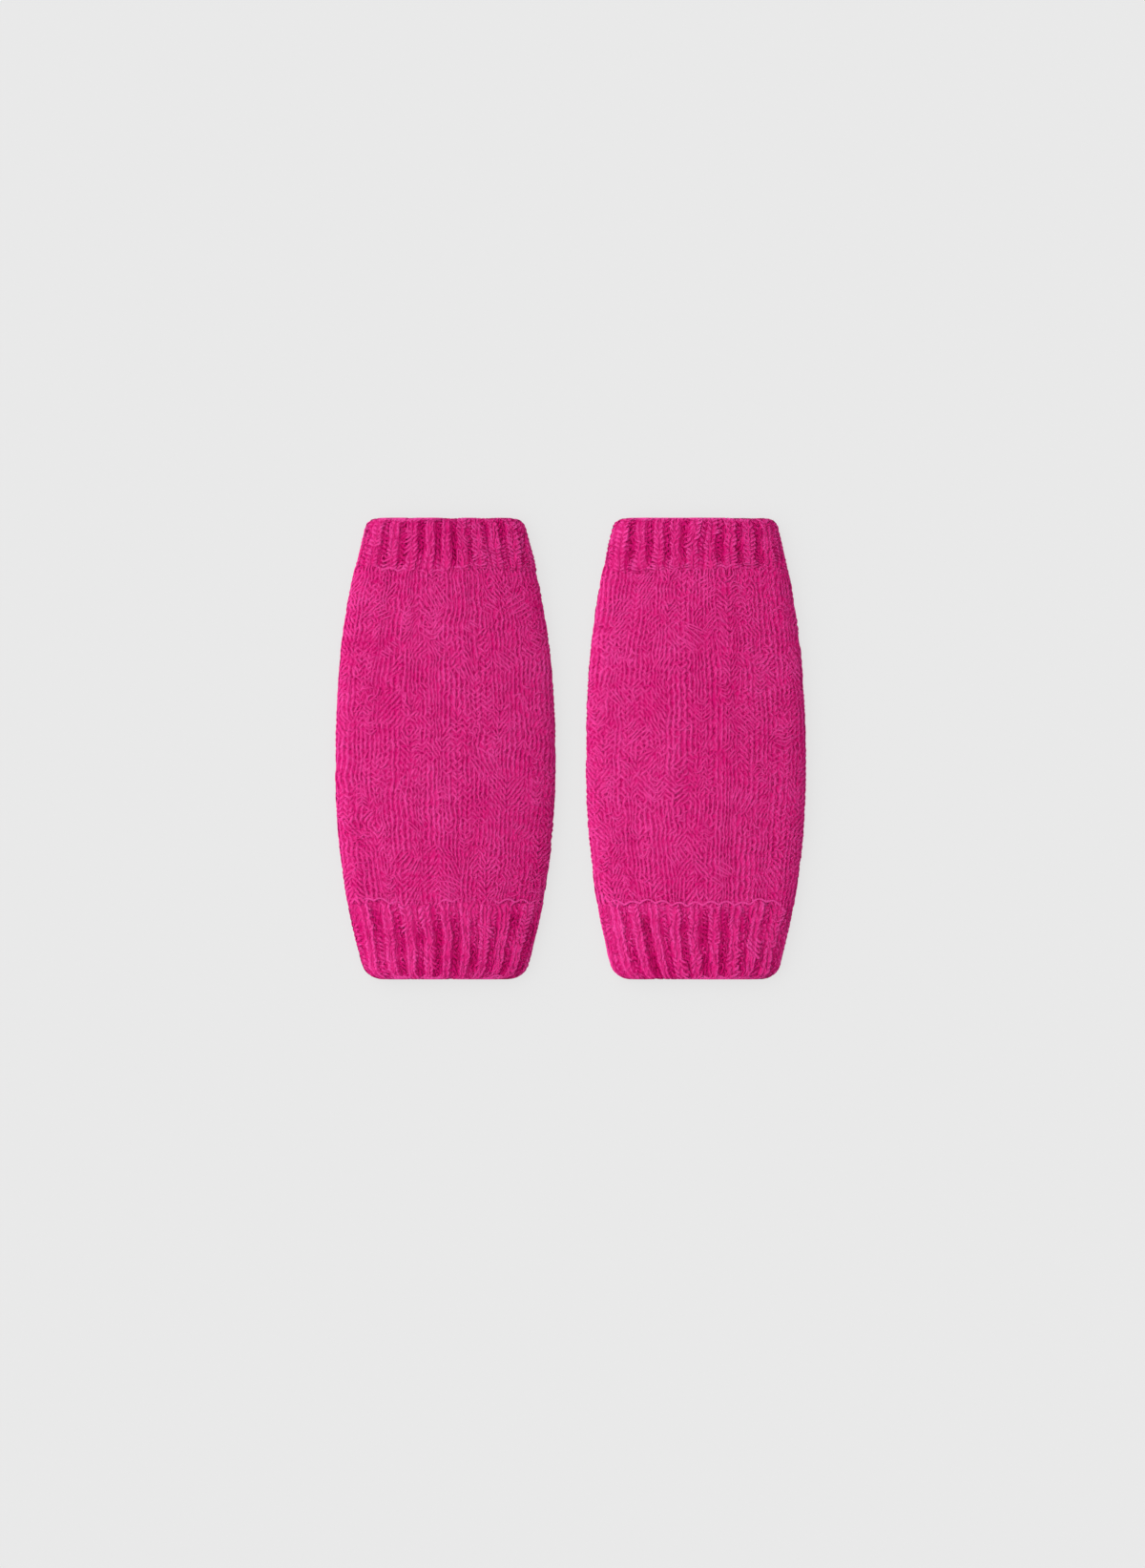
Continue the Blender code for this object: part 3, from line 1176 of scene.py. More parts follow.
    def wrap(self, piece: bpy.types.Object, flat: np.ndarray, pitch: tuple, first_wale: float,
             per_tile: int) -> None:
        """Wraps a flat sheet of knitting round the mitt.

        Args:
            piece: The sheet.
            flat: Places of its vertices.
            pitch: Width of one tile and height of one row on the sheet.
            first_wale: Where the sheet starts round the tube.
            per_tile: Wales in one tile.
        """
        row_height = (self.high - self.low) / self.rows
        around = (first_wale + per_tile * flat[:, 0] / pitch[0]) / self.wales
        along = self.low + (flat[:, 1] / pitch[1] + 0.5) * row_height
        across_shift, along_shift, out_shift = self.tension.shift(around, self.share(along))
        girth = 4 * self.form.half_width(along)
        steady = 0.004  # rows this near an end of the stretch keep their place along it
        margin = np.clip(np.minimum(along - self.low, self.high - along) / steady, 0.0, 1.0)
        around = around + across_shift / girth
        along = self.form.kept_in(self.form.wandered(around, along + along_shift * margin))
        filling, bed = self.filling(around, along), self.bed(around, along)
        depth = pressed(bed - flat[:, 2] - out_shift - filling, self.highest, self.flattening)
        # colour height: raised wales are painted lighter, sunk wales and the beds under nests darker, as
        # painted light and shade
        self.form.lay(piece, around, along, depth, flat[:, 2] + filling - 0.5 * bed + 0.15 * out_shift)

    def cloth(self, finish: bpy.types.Material) -> bpy.types.Object:
        """Makes the thin cloth under the loops, a grid wrapped into a closed ring of wall.

        Args:
            finish: Its material.

        Returns:
            The cloth.
        """
        across, along = self.cloth_cells
        rows = 2 * (along + 1)
        piece = flat_grid(f"{self.name}_cloth", across, rows, 0.5)
        flat = points_of(piece)
        around = flat[:, 0] + 0.5
        row = np.mod(np.round((flat[:, 1] + 0.5) * rows), rows)
        inside = row > along
        step = np.where(inside, rows - 1 - row, row)
        low, high = self.cloth_ends()
        place = self.form.wandered(around, low + (high - low) * step / along)
        level = self.cloth_depth + self.valleys(around, place)
        depth = level - self.tension.wave(around, self.share(place))
        depth = depth + np.where(inside, self.cloth_thickness, 0.0)
        # colour height is minus the cloth's level, so cloth deep in the valleys is painted darker as shade
        self.form.lay(piece, around, place, depth, -level, np.where(inside, -1.0, 1.0))
        return close_up(piece, finish)

    def loops(self, name: str, yarn: YarnTube, stitches: list, first_wale: float, tiles: int,
              finish: bpy.types.Material) -> bpy.types.Object:
        """Knits loops and wraps them round the mitt.

        Args:
            name: Name of the piece.
            yarn: How the yarn is swept.
            stitches: The loops of one tile.
            first_wale: Where the knitting starts round the tube.
            tiles: Tiles across.
            finish: Its material.

        Returns:
            The piece.
        """
        pitch = (sum(loop.width for loop in stitches), (self.high - self.low) / self.rows)
        sweep = YarnSweep(yarn)
        for number, loop in enumerate(stitches):
            sweep.sweep(lambda turn, loop=loop: Vector(loop.path(turn)), yarn.steps, number)
        piece = repeated(sweep.finish(f"{self.name}_{name}"), (tiles, self.rows), pitch)
        flat = self.reshape(piece, stitches, pitch, first_wale)
        self.wrap(piece, flat, pitch, first_wale, len(stitches))
        return close_up(piece, finish, 2 * WELD)

    def declare(self, cloth: bpy.types.Object, slot: str, others: list) -> None:
        """Attaches the pieces to the root, logs their triangles and hides the solid that they stand for. It
        works out the cloth's flat size and area but does nothing with them.

        Args:
            cloth: The cloth.
            slot: The material slot of the solid. Not used.
            others: The other pieces of the stretch.
        """
        for piece in [cloth, *others]:
            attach(piece, "root")
            triangles = sum(len(face.vertices) - 2 for face in piece.data.polygons)
            LOG.info("%s: %d triangles", piece.name, triangles)
        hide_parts(self.name)
        widest = min(max(self.form.widest_y, self.low), self.high)
        flat = (self.form.circumference(widest), self.high - self.low)
        area = self.form.cloth_area(self.low, self.high)


@dataclass
class StrandNests:
    """Strands that felting has worked loose, in nests of nested chevrons, slanting lines or curls.

    Attributes:
        form: The mitt's form.
        low: Lower end of the stretch that they lie on.
        high: Its upper end.
        seed: Start of the random draws.
        nests: Number of nests.
        shares: Shares of nests of chevrons, slanting lines and curls.
        strands: Strands in one nest.
        lengths: Even length of a curl, and of any other strand.
        apart: Least distance between the middles of two nests.
        spacing: Distance between the strands of a nest.
        margin: Distance that the middles keep from the ends of the stretch.
        bed: How far the loops sink under a nest.
        bed_radius: How far from its middle they sink.
        crown: Depth of a strand's middle.
        dive: How far its ends sink.
        yarn: How it is swept.
        tries: Places that are tried for the nests.
    """

    form: MittForm
    low: float
    high: float
    seed: int
    nests: int = 80
    shares: tuple = (0.30, 0.36, 0.34)
    strands: int = 6
    lengths: tuple = (0.0075, 0.0085)
    apart: float = 0.0135
    spacing: float = 0.00185
    margin: float = 0.007
    bed: float = 0.00010
    bed_radius: float = 0.0060
    crown: float = 0.00038
    dive: float = 0.0016
    yarn: YarnTube = YarnTube(width=0.00115, depth=0.0008, sides=4, steps=9)
    tries: int = 6000

    def __post_init__(self) -> None:
        """Draws the nests and each strand in them: chevrons, slanting lines or curls."""
        draw = np.random.default_rng(self.seed)
        self.middles = self._scatter(draw)
        count = len(self.middles)
        shape = (count, self.strands)
        kind = draw.choice(3, count, p=self.shares)[:, None]
        chevron, slant, curl = (kind == number for number in range(3))
        tilt = np.where(draw.uniform(size=count) < 0.5, -1, 1)[:, None] * draw.uniform(0.5, 1.15, (count, 1))
        any_way = draw.uniform(0.0, 2 * math.pi, shape)
        self.angle = np.where(slant, tilt, np.where(curl, any_way, draw.normal(0.0, 0.15, (count, 1))))
        self.angle = self.angle + draw.normal(0.0, 0.10, shape)
        side = np.where(draw.uniform(size=shape) < 0.5, -1, 1)
        self.curl = np.where(curl, side * draw.uniform(1.5, 4.5, shape), draw.normal(0.0, 0.5, shape))
        upward = np.where(draw.uniform(size=(count, 1)) < 0.8, 1.0, -1.0)
        peak = upward * draw.uniform(0.65, 1.3, (count, 1))
        self.peak = np.where(chevron, peak, 0.0) + np.zeros(shape)
        length = np.where(curl, *self.lengths)
        size = draw.choice((1.0, 1.5, 2.1), (count, 1), p=(0.6, 0.25, 0.15))
        self.length = length * draw.uniform(0.65, 1.2, shape) * np.where(curl, 1.0, size)
        step = (np.arange(self.strands) - (self.strands - 1) / 2)[None, :] * self.spacing
        scatter = draw.normal(0.0, 0.0030, (2, *shape))
        nudge = draw.normal(0.0, 0.0003, (2, *shape))
        self.aside = np.where(curl, scatter[0], nudge[0])
        self.above = np.where(curl, scatter[1], step + nudge[1])

    def _scatter(self, draw: np.random.Generator) -> np.ndarray:
        """Places for the middles of the nests, none too near another.

        Args:
            draw: The random draws.

        Returns:
            Turns round the tube and metres along it, one row each.
        """
        girth = 4 * float(self.form.half_width(np.array([self.form.widest_y]))[0])
        turns = draw.uniform(0.0, 1.0, self.tries)
        places = draw.uniform(self.low + self.margin, self.high - self.margin, self.tries)
        found = []
        for turn, along in zip(turns, places):
            gaps = [math.hypot(((turn - other[0] + 0.5) % 1.0 - 0.5) * girth, along - other[1])
                    for other in found]
            if not gaps or min(gaps) > self.apart:
                found.append((turn, along))
            if len(found) == self.nests:
                break
        return np.array(found)

    def beds(self, around: np.ndarray, along: np.ndarray) -> np.ndarray:
        """How far the loops sink at a place.

        Args:
            around: Turns round the tube.
            along: Places along it.

        Returns:
            Depths in metres.
        """
        girth = 4 * self.form.half_width(along)
        deepest = np.zeros(around.shape)
        for turn, middle in self.middles:
            aside = (np.mod(around - turn + 0.5, 1.0) - 0.5) * girth
            far = (aside**2 + (along - middle) ** 2) / self.bed_radius**2
            deepest = np.maximum(deepest, np.clip(1.6 * (1 - far), 0.0, 1.0))
        return deepest * self.bed

    def _bent(self, share: np.ndarray, which: tuple) -> tuple:
        """Places along strands, before they are turned.

        Args:
            share: Shares of the way along the strand, from its middle, within -0.5 and 0.5.
            which: Nest and strand of each place.

        Returns:
            Places across and along.
        """
        straightest = 0.05
        curl = np.where(np.abs(self.curl[which]) < straightest, straightest, self.curl[which])
        reach = self.length[which]
        x = reach * np.sin(curl * share) / curl
        y = reach * ((1 - np.cos(curl * share)) / curl + self.peak[which] * np.sqrt(share**2 + 0.0015))
        return x, y

    def build(self, name: str, wool: bpy.types.Material, tension: HandTension) -> bpy.types.Object:
        """Makes the strands and lays them on the mitt.

        Args:
            name: Name of the piece.
            wool: Its material.
            tension: How uneven the fabric under them is.

        Returns:
            The piece.
        """
        unit = 0.01  # length of a strand before it is bent
        sweep = YarnSweep(self.yarn)
        sweep.sweep(lambda turn: Vector(((turn - 0.5) * unit, 0.0, 0.0)), self.yarn.steps)
        pitch = (2 * unit, unit)
        piece = repeated(sweep.finish(name), (self.strands, len(self.middles)), pitch)
        flat, turn = points_of(piece), values_of(piece, "turn")
        share = turn - 0.5
        strand = np.clip(np.round((flat[:, 0] - share * unit) / pitch[0]).astype(int), 0, self.strands - 1)
        nest = np.clip(np.round(flat[:, 1] / pitch[1]).astype(int), 0, len(self.middles) - 1)
        which = (nest, strand)
        side = flat[:, 1] - nest * pitch[1]
        x, y = self._bent(share, which)
        after, before = self._bent(share + NEAR, which), self._bent(share - NEAR, which)
        ahead = [end - start for end, start in zip(after, before)]
        norm = np.hypot(*ahead)
        x = x - side * ahead[1] / norm
        y = y + side * ahead[0] / norm
        cos, sin = np.cos(self.angle[which]), np.sin(self.angle[which])
        x, y = x + self.aside[which], y + self.above[which]
        middle = self.middles[nest]
        along = np.clip(middle[:, 1] + x * sin + y * cos, self.low + 0.001, self.high - 0.001)
        around = middle[:, 0] + (x * cos - y * sin) / (4 * self.form.half_width(along))
        sunk = self.dive * np.abs(2 * share) ** 5
        heights = flat[:, 2] - self.crown - sunk
        wave = tension.wave(around, (along - self.form.low_y) / (self.form.high_y - self.form.low_y))
        # these heights also set the colour, so the strands' diving ends are painted darker as shade
        self.form.lay(piece, around, along, -heights - wave, heights)
        return close_up(piece, wool)


@dataclass
class Body(KnittedStretch):
    """The stockinette body, with more finely swept loops on its front than underneath.

    Attributes:
        front_wales: Wales of the front, which run a little way round both folds.
        front_yarn: How the yarn of the front is swept.
        back_yarn: How the yarn underneath is swept.
    """

    front_wales: int = 28
    front_yarn: YarnTube = YarnTube(width=0.00112, depth=0.0007)
    back_yarn: YarnTube = YarnTube(width=0.00112, depth=0.0007, sides=4, steps=6)

    def __post_init__(self) -> None:
        """Draws the nests of loose strands that the loops make way for."""
        super().__post_init__()
        self.nests = StrandNests(self.form, self.low, self.high, self.tension.seed + 60)

    def bed(self, around: np.ndarray, along: np.ndarray) -> np.ndarray:
        """How far the loops sink under loose strands."""
        return self.nests.beds(around, along)

    def build(self, wool: bpy.types.Material, ground: bpy.types.Material) -> None:
        """Args:
            wool: Material of the loops.
            ground: Material of the cloth under them.
        """
        cloth = self.cloth(ground)
        half_turn = self.wales / 2
        first = (half_turn - self.front_wales) / 2
        front = self._layer("front_loops", self.front_yarn, first, self.front_wales, wool)
        back = self._layer("back_loops", self.back_yarn, first + self.front_wales,
                           self.wales - self.front_wales, wool)
        strands = self.nests.build(f"{self.name}_loose_strands", wool, self.tension)
        self.declare(cloth, "plain_knit", [front, back, strands])

    def _layer(self, name: str, yarn: YarnTube, first: float, wales: int,
               wool: bpy.types.Material) -> bpy.types.Object:
        """Makes the loops of the front or the back layer.

        Args:
            name: The piece's name.
            yarn: How its yarn is swept.
            first: Its first wale.
            wales: How many wales it has.
            wool: Its material.

        Returns:
            The piece.
        """
        width = self.form.circumference(self.form.widest_y) / self.wales
        row = (self.high - self.low) / self.rows
        stitch = Loop(Face.KNIT, start=0.0, width=width, reach=0.88 * row, neck=UPRIGHT.neck * width,
                      rise=0.00016, level=0.00053)
        return self.loops(name, yarn, [stitch], first, wales, wool)


@dataclass(frozen=True)
class Border:
    """Strands of yarn that run all round the mitt.

    Attributes:
        paths: The strands of one tile, each a function from a share of the way to a point.
        yarn: How they are swept.
        count: Tiles round the mitt.
        pitch: Width of one tile.
        place: Where they lie along the mitt.
        depth: Their depth.
        wander: How far they rise, sink and stray.
        tone: What is added to their height for the wool's colour: raised, it paints them lighter as a painted
            highlight; lowered, darker as painted shade.
        tuck: How far they move along the mitt on its underside.
    """

    paths: tuple
    yarn: YarnTube
    count: int
    pitch: float
    place: float
    depth: float
    wander: float
    tone: float
    tuck: float = 0.0


@dataclass
class RibCuff(KnittedStretch):
    """A 1x1 rib cuff with full, soft ribs and a cast-off edge.

    Attributes:
        edge_up: Whether its open edge is its upper end.
        yarn: How its yarn is swept.
        knit_share: Share of a rib and a valley that the rib takes.
        valley: Depth of an even valley.
        valley_power: How narrow it is.
        unevenness: Least and most share of that depth.
        run_out: Length over which a valley runs out towards the body.
        edge_rise: Length over which it rises towards the open edge.
        hem: Distance that the cloth keeps from the open edge.
        fold_flatness: How much of a valley is pressed out at the side folds.
        filled: Share of a shallow valley that its loops fill, and the most that they rise.
        rail_gap: Distance of the strands along a rib from its middle.
        rail_depth: Their depth.
        habit: How most of its loops are drawn.
        shares: Shares of upright, open and leaning patches among the others.
        edge_radius: How far the two strands of the edge lie from the line that they twist round.
        arc_pair: Length of two arcs at a joint.
        arc_height: How far an arc reaches along the mitt.
        fold_dip: How far what runs round the cuff sinks at the side folds.
    """

    edge_up: bool = True
    yarn: YarnTube = YarnTube(width=0.00112, depth=0.0009, steps=10)
    knit_share: float = 0.64
    valley: float = 0.0018
    valley_power: float = 4.0
    unevenness: tuple = (0.55, 1.15)
    run_out: float = 0.0060
    edge_rise: float = 0.0030
    hem: float = 0.0008
    fold_flatness: float = 0.6
    filled: tuple = (0.9, 0.0009)
    rail_gap: float = 0.0019
    rail_depth: float = 0.0011
    habit: Habit = OPEN
    shares: tuple = (0.40, 0.25, 0.35)
    edge_radius: float = 0.0004
    arc_pair: float = 0.0135
    arc_height: float = 0.0017
    fold_dip: float = 0.0008

    def __post_init__(self) -> None:
        """Draws how deep each valley is and how far it runs out."""
        super().__post_init__()
        draw = np.random.default_rng(self.tension.seed + (70 if self.edge_up else 80))
        self.depths = draw.uniform(*self.unevenness, self.wales // 2)
        self.fades = draw.uniform(0.6, 1.9, self.wales // 2)

    def patches(self) -> LoopPatches:
        """The patches of alike loops, each one wale wide."""
        return LoopPatches(self.tension.seed + 50, self.wales, self.rows, base=self.habit,
                           patches=2 * self.wales, widths=(1,), lengths=(3, 8), shares=self.shares,
                           mirrored=0.0)

    def _ribs(self, around: np.ndarray, along: np.ndarray) -> tuple:
        """Where a place lies among the ribs.

        Args:
            around: Turns round the tube.
            along: Places along it.

        Returns:
            Ridge shares, 0 on the middle of a rib and 1 between two, and numbers of the valleys.
        """
        lean = self.tension.lean(around, self.share(along)) / (4 * self.form.half_width(along))
        place = np.mod(around - lean, 1.0) * (self.wales // 2)
        base = 0.5 - 0.5 * np.cos(2 * math.pi * place)
        return 0.3 * base + 0.7 * base**self.valley_power, np.floor(place).astype(int) % (self.wales // 2)

    def valleys(self, around: np.ndarray, along: np.ndarray) -> np.ndarray:
        """Depth of the cloth below its usual level, shallow near the body and at the open edge.

        Args:
            around: Turns round the tube.
            along: Places along it.

        Returns:
            Depths in metres.
        """
        trough, number = self._ribs(around, along)
        seam, edge = (self.low, self.high) if self.edge_up else (self.high, self.low)
        near_body = np.clip(1 - np.abs(along - seam) / (self.run_out * self.fades[number]), 0.0, 1.0) ** 1.5
        near_edge = np.clip(1 - np.abs(along - edge) / self.edge_rise, 0.0, 1.0)
        matted = np.clip(0.75 + 0.6 * self.tension.patch.at(around, self.share(along)), 0.3, 1.0)
        matted = matted * (1 - self.fold_flatness * np.cos(2 * math.pi * around) ** 12)
        return self.valley * trough * self.depths[number] * matted * (1 - near_body) * (1 - 0.6 * near_edge)

    def cloth_ends(self) -> tuple:
        """Where the cloth starts and ends along the mitt, hidden in the cast-off edge."""
        return (self.low, self.high - self.hem) if self.edge_up else (self.low + self.hem, self.high)

    def filling(self, around: np.ndarray, along: np.ndarray) -> np.ndarray:
        """How far the loops come forward where a valley is shallow."""
        missing = self.valley * self._ribs(around, along)[0] - self.valleys(around, along)
        return np.minimum(self.filled[0] * missing, self.filled[1])

    def build(self, wool: bpy.types.Material, ground: bpy.types.Material) -> None:
        """Args:
            wool: Material of the loops.
            ground: Material of the cloth under them.
        """
        cloth = self.cloth(ground)
        loops = self.loops("loops", self.yarn, self._stitches(), -self.knit_share, self.wales // 2, wool)
        if self.edge_up:
            seam_arcs = self._arcs(self.low, depth=0.0006, wander=0.0010)
        else:
            seam_arcs = self._arcs(self.high, depth=0.0, wander=0.0010)
        others = [loops, self._rails(wool), self._round("edge", self._edge(), wool),
                  self._round("seam_arcs", seam_arcs, wool)]
        if not self.edge_up:
            edge_arcs = self._arcs(self.low + self.hem, depth=0.0006, wander=0.0013)
            others.append(self._round("edge_arcs", edge_arcs, wool))
        self.declare(cloth, "rib_knit", others)

    def _stitches(self) -> list:
        """The stitches of one tile.

        Returns:
            A knit one on a rib and a slimmer purl one, low in a valley.
        """
        pitch = self.form.circumference((self.low + self.high) / 2) / (self.wales // 2)
        reach = 0.95 * (self.high - self.low) / self.rows
        width = pitch * self.knit_share
        knit = Loop(Face.KNIT, start=0.0, width=width, reach=reach, neck=UPRIGHT.neck * width,
                    rise=0.00030, level=0.00075)
        purl = Loop(Face.PURL, start=width, width=pitch - width, reach=reach, neck=0.0002,
                    rise=0.00032, level=0.00158, plump=0.00105 / self.yarn.width)
        return [knit, purl]

    def _rails(self, wool: bpy.types.Material) -> bpy.types.Object:
        """Makes the two strands that run up the sides of each rib.

        Args:
            wool: Its material.

        Returns:
            The piece.
        """
        steps, length = 3 * self.rows, self.high - self.low
        sweep = YarnSweep(YarnTube(width=0.0011, depth=0.0010, sides=4, steps=steps))
        sweep.sweep(lambda turn: Vector((0.0, turn * length, 0.0)), steps)
        piece = repeated(sweep.finish(f"{self.name}_rails"), (self.wales, 1), (1.0, 1.0))
        flat = points_of(piece)
        strand = np.round(flat[:, 0])
        side = np.where(np.mod(strand, 2) == 0, 1.0, -1.0)
        draw = np.random.default_rng(self.tension.seed + 90)
        apart = self.rail_gap * draw.uniform(0.75, 1.15, self.wales)[strand.astype(int)]
        along = np.clip(self.low + flat[:, 1], self.form.low_y + 0.001, self.form.high_y - 0.001)
        rib = np.floor(strand / 2) / (self.wales // 2)
        share, beside = self.share(along), rib + side * 0.01
        aside = self.tension.lean(rib, share) + 0.0006 * self.tension.fine[1].at(beside, share)
        around = rib + (side * apart + aside + flat[:, 0] - strand) / (4 * self.form.half_width(along))
        way = np.clip((along - self.low) / length, 0.0, 1.0)
        sunk = 0.0008 * np.abs(2 * way - 1) ** 8 + 0.0005 * self.tension.middle[0].at(beside, share)
        depth = self.rail_depth + sunk - flat[:, 2]
        # colour height is minus the depth, so deeper stretches of the rails are painted darker as shade
        self.form.lay(piece, around, along, depth, -depth + 0.0001)
        return close_up(piece, wool)

    def _edge(self) -> Border:
        """The cast-off edge.

        Returns:
            Two strands laid round each other once a stitch.
        """
        edge_y, inwards = (self.high, -1.0) if self.edge_up else (self.low, 1.0)
        pitch = self.form.circumference(edge_y + inwards * 0.004) / self.wales
        radius = self.edge_radius

        def strand(start: float) -> Callable:
            """One strand's path, from where it starts round the other."""
            def path(turn: float) -> Vector:
                """A point of the strand."""
                angle = 2 * math.pi * turn + start
                return Vector((pitch * turn, radius * math.cos(angle), radius * math.sin(angle)))
            return path

        # the edge strands' colour height is raised, which paints them lighter: a painted highlight on the
        # rolled edge
        return Border((strand(0.0), strand(math.pi)), YarnTube(width=0.0013, depth=0.0013, sides=6, steps=8),
                      count=self.wales, pitch=pitch, place=edge_y + inwards * 0.0009, depth=0.0009,
                      wander=0.0005, tone=0.0005, tuck=inwards * 0.0004)

    def _arcs(self, place: float, depth: float, wander: float) -> Border:
        """A row of small raised arcs round the mitt.

        Args:
            place: Where they stand along it.
            depth: Their depth.
            wander: How far they rise, sink and stray.

        Returns:
            The strands to lay round the mitt.
        """
        girth = self.form.circumference(place)
        count = 2 * round(girth / self.arc_pair)
        pitch = girth / count

        def path(turn: float) -> Vector:
            """A point of one arc."""
            rise = math.sqrt(math.sin(math.pi * turn) ** 2 + 0.01)
            return Vector((pitch * turn, self.arc_height * rise, 0.0))

        return Border((path,), YarnTube(width=0.0010, depth=0.0009, sides=5, steps=9), count=count,
                      pitch=pitch, place=place, depth=depth, wander=wander, tone=0.4 * wander - 0.0004)

    def _round(self, name: str, border: Border, wool: bpy.types.Material) -> bpy.types.Object:
        """Lays strands all round the mitt.

        Args:
            name: Name of the piece.
            border: The strands.
            wool: Their material.

        Returns:
            The piece.
        """
        sweep = YarnSweep(border.yarn)
        for path in border.paths:
            sweep.sweep(path, border.yarn.steps)
        piece = repeated(sweep.finish(f"{self.name}_{name}"), (border.count, 1), (border.pitch, 1.0))
        flat = points_of(piece)
        around = flat[:, 0] / border.pitch / border.count
        angle = 2 * math.pi * around
        share = self.share(np.full(around.shape, border.place))
        along = border.place + flat[:, 1] + border.wander * self.tension.middle[1].at(around, share)
        underneath = np.clip(-4.0 * np.sin(angle), 0.0, 1.0)
        along = self.form.wandered(around, along + border.tuck * underneath)
        along = np.clip(along, self.form.low_y + 0.0001, self.form.high_y - 0.0001)
        sunk = border.wander * np.clip(0.3 + 1.5 * self.tension.middle[0].at(around, share), 0.0, 1.0)
        sunk = sunk + self.fold_dip * np.cos(angle) ** 20
        depth = border.depth + self.valleys(around, along) * 0.6 + sunk - flat[:, 2]
        # the strands' colour height is their own height plus the border's shift, which paints light and shade
        self.form.lay(piece, around, along, depth, flat[:, 2] + border.tone)
        return close_up(piece, wool, 2 * WELD)


@dataclass
class Mitt:
    """One whole mitt: two rib cuffs and the body between them.

    Attributes:
        side: Its name, left or right.
        seed: Start of its random draws.
        body_wales: Wales round the body.
        cuff_wales: Wales round each cuff, half of them ribs.
        body_rows: Rows of the body.
        upper_rows: Rows of the upper cuff.
        lower_rows: Rows of the lower cuff.
    """

    side: str
    seed: int
    body_wales: int = 50
    cuff_wales: int = 40
    body_rows: int = 57
    upper_rows: int = 12
    lower_rows: int = 16

    def build(self, wool: bpy.types.Material, ground: bpy.types.Material) -> None:
        """Makes all of the mitt's pieces.

        Args:
            wool: Material of the yarn.
            ground: Material of the cloth under it.
        """
        form = MittForm(self.side)
        all_rows = self.body_rows + self.upper_rows + self.lower_rows
        plain = HandTension(self.seed, self.body_wales, all_rows)
        ribbed = HandTension(self.seed + 100, self.cuff_wales, all_rows, ladders=0.0002, swirl=0.0008,
                             drift=0.0022, streaks=0.00015)
        Body(form, Stretch.BODY, form.lower_seam, form.upper_seam, self.body_rows, self.body_wales,
             plain).build(wool, ground)
        RibCuff(form, Stretch.UPPER_CUFF, form.upper_seam, form.high_y, self.upper_rows, self.cuff_wales,
                ribbed, cloth_depth=0.00032, cloth_thickness=0.0008, cloth_cells=(200, 10),
                edge_up=True).build(wool, ground)
        RibCuff(form, Stretch.LOWER_CUFF, form.low_y, form.lower_seam, self.lower_rows, self.cuff_wales,
                ribbed, cloth_depth=0.00025, cloth_thickness=0.0008, cloth_cells=(200, 14), edge_up=False,
                yarn=YarnTube(width=0.0013, steps=10), knit_share=0.56, valley=0.0017, valley_power=2.2,
                run_out=0.0095, rail_gap=0.0014, rail_depth=0.0010, habit=UPRIGHT,
                shares=(0.25, 0.45, 0.30)).build(wool, ground)


# --------------------------------------------------------------------------------------------------- studio


@dataclass(frozen=True)
class Lamp:
    """A distant soft lamp.

    Attributes:
        name: Its name.
        place: The side that it shines from.
        spread: Its width in the sky, in degrees.
        strength: Its strength.
    """

    name: str
    place: tuple
    spread: float
    strength: float

    def build(self) -> None:
        """Makes the lamp."""
        data = bpy.data.lights.new(self.name, "SUN")
        data.angle, data.energy = math.radians(self.spread), self.strength
        lamp = linked(self.name, data)
        lamp.rotation_euler = (-Vector(self.place)).to_track_quat("-Z", "Y").to_euler()


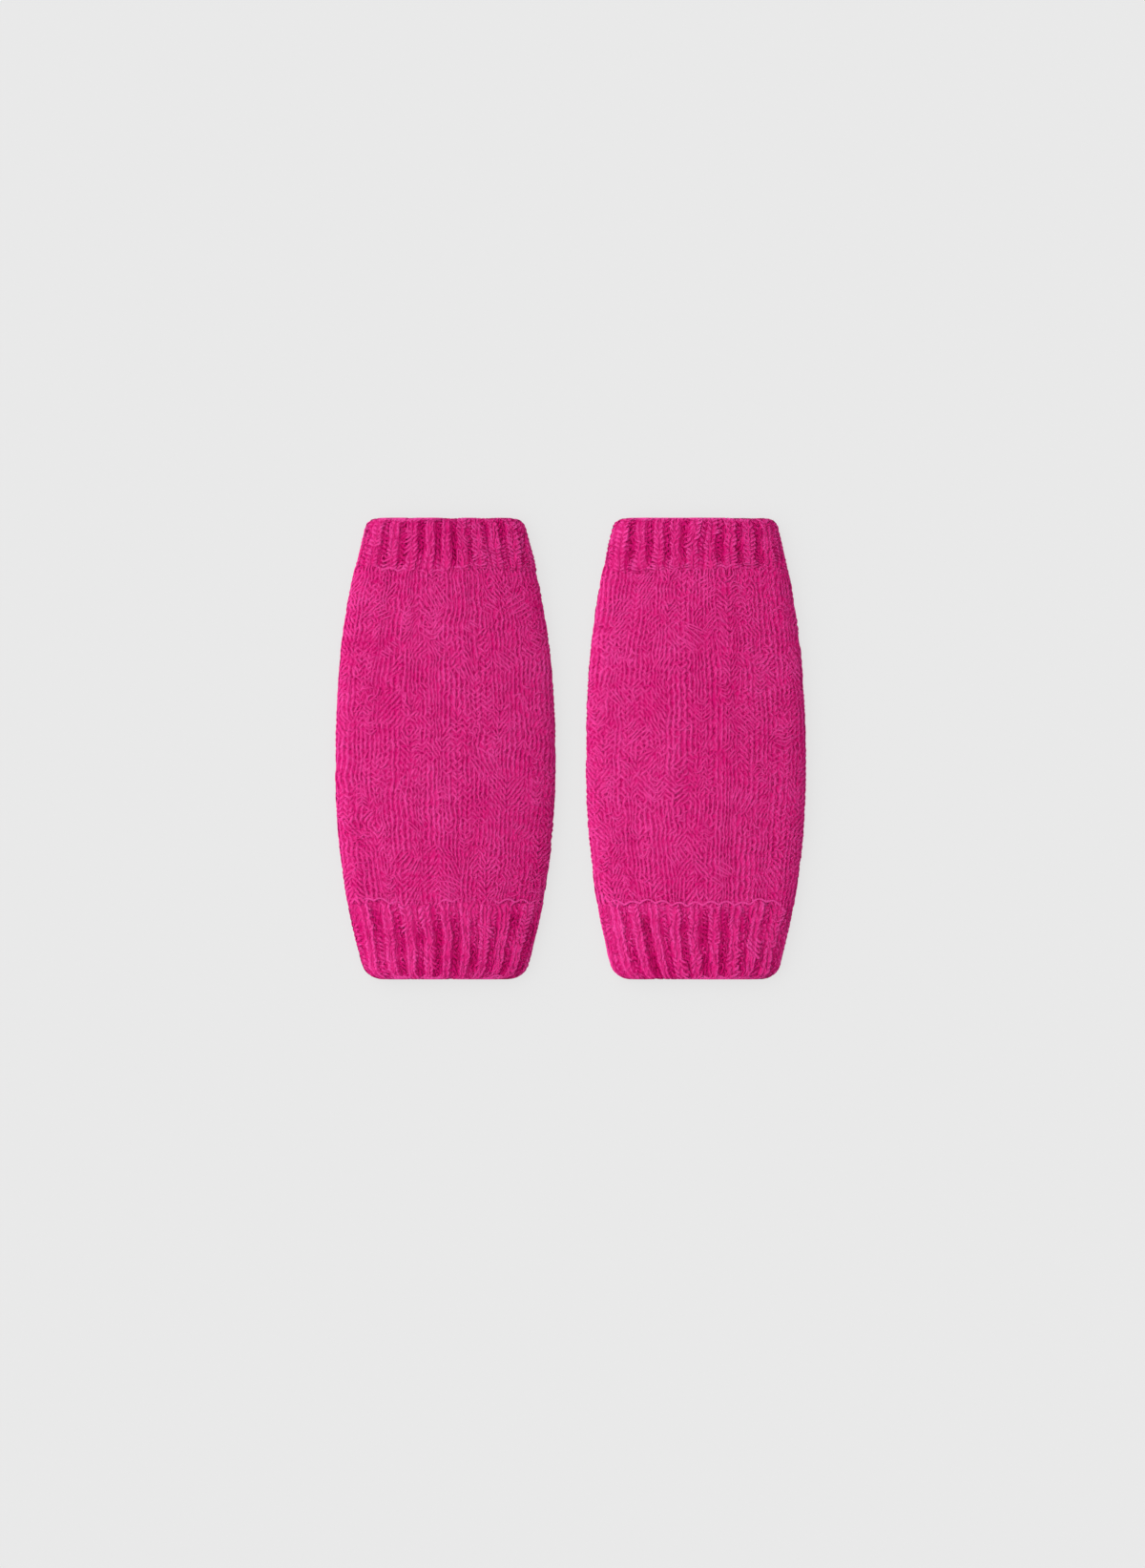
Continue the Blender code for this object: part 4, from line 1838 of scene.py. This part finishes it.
@dataclass
class Studio:
    """The pale floor, the soft lights and the camera straight above.

    Attributes:
        frame_height: Length on the floor that the frame's height covers.
        aim: Where the camera looks, from the middle of the pair.
        lens: Focal length in millimetres.
        sensor: Sensor's long side in millimetres.
        floor_size: Side of the floor.
        floor_glow: How luminous the floor is.
        surround: Strength of the even light from all round.
        lamps: The lamps.
    """

    frame_height: float = 0.7143
    aim: tuple = (0.0009, -0.0161)
    lens: float = 100.0
    sensor: float = 36.0
    floor_size: float = 6.0
    floor_glow: float = 0.700
    surround: float = 0.60
    lamps: tuple = (Lamp("key", (-1.0, 0.3, 0.70), 115.0, 3.7),
                    Lamp("rim", (-1.0, 0.1, 0.22), 60.0, 0.7),
                    Lamp("top", (-0.2, 0.2, 1.0), 100.0, 0.3))

    def build(self) -> None:
        """Makes the whole studio."""
        self._floor()
        for lamp in self.lamps:
            lamp.build()
        self._world()
        self._camera()
        bpy.context.scene.view_settings.view_transform = "Standard"

    def _floor(self) -> None:
        """Makes the floor, which is luminous so that shadows on it stay faint."""
        floor = flat_grid("floor", 1, 1, self.floor_size / 2)
        material, bench, shader = new_material("pale_floor")
        bench.feed(shader, {
            "Base Color": (0.08, 0.08, 0.08, 1.0), "Roughness": 1.0, "Specular IOR Level": 0.0,
            "Emission Color": (1.0, 1.0, 1.0, 1.0), "Emission Strength": self.floor_glow})
        floor.data.materials.append(material)

    def _world(self) -> None:
        """Sets an even, pale surrounding light."""
        world = bpy.data.worlds.new("studio")
        world.use_nodes = True
        background = world.node_tree.nodes["Background"]
        background.inputs["Color"].default_value = (1.0, 1.0, 1.0, 1.0)
        background.inputs["Strength"].default_value = self.surround
        bpy.context.scene.world = world

    def _camera(self) -> None:
        """Hangs the camera straight above its aim."""
        data = bpy.data.cameras.new("camera")
        data.lens, data.sensor_width = self.lens, self.sensor
        camera = linked("camera", data)
        camera.location = (*self.aim, self.frame_height * self.lens / self.sensor)
        bpy.context.scene.camera = camera


def main() -> None:
    """Builds the studio and both mitts."""
    logging.basicConfig(level=logging.INFO, format="%(name)s: %(message)s")
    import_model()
    Studio().build()
    wool, ground = YarnFinish().build(), FeltFinish().build()
    for side, seed in (("left", 11), ("right", 47)):
        Mitt(side, seed).build(wool, ground)


if __name__ == "__main__":
    main()
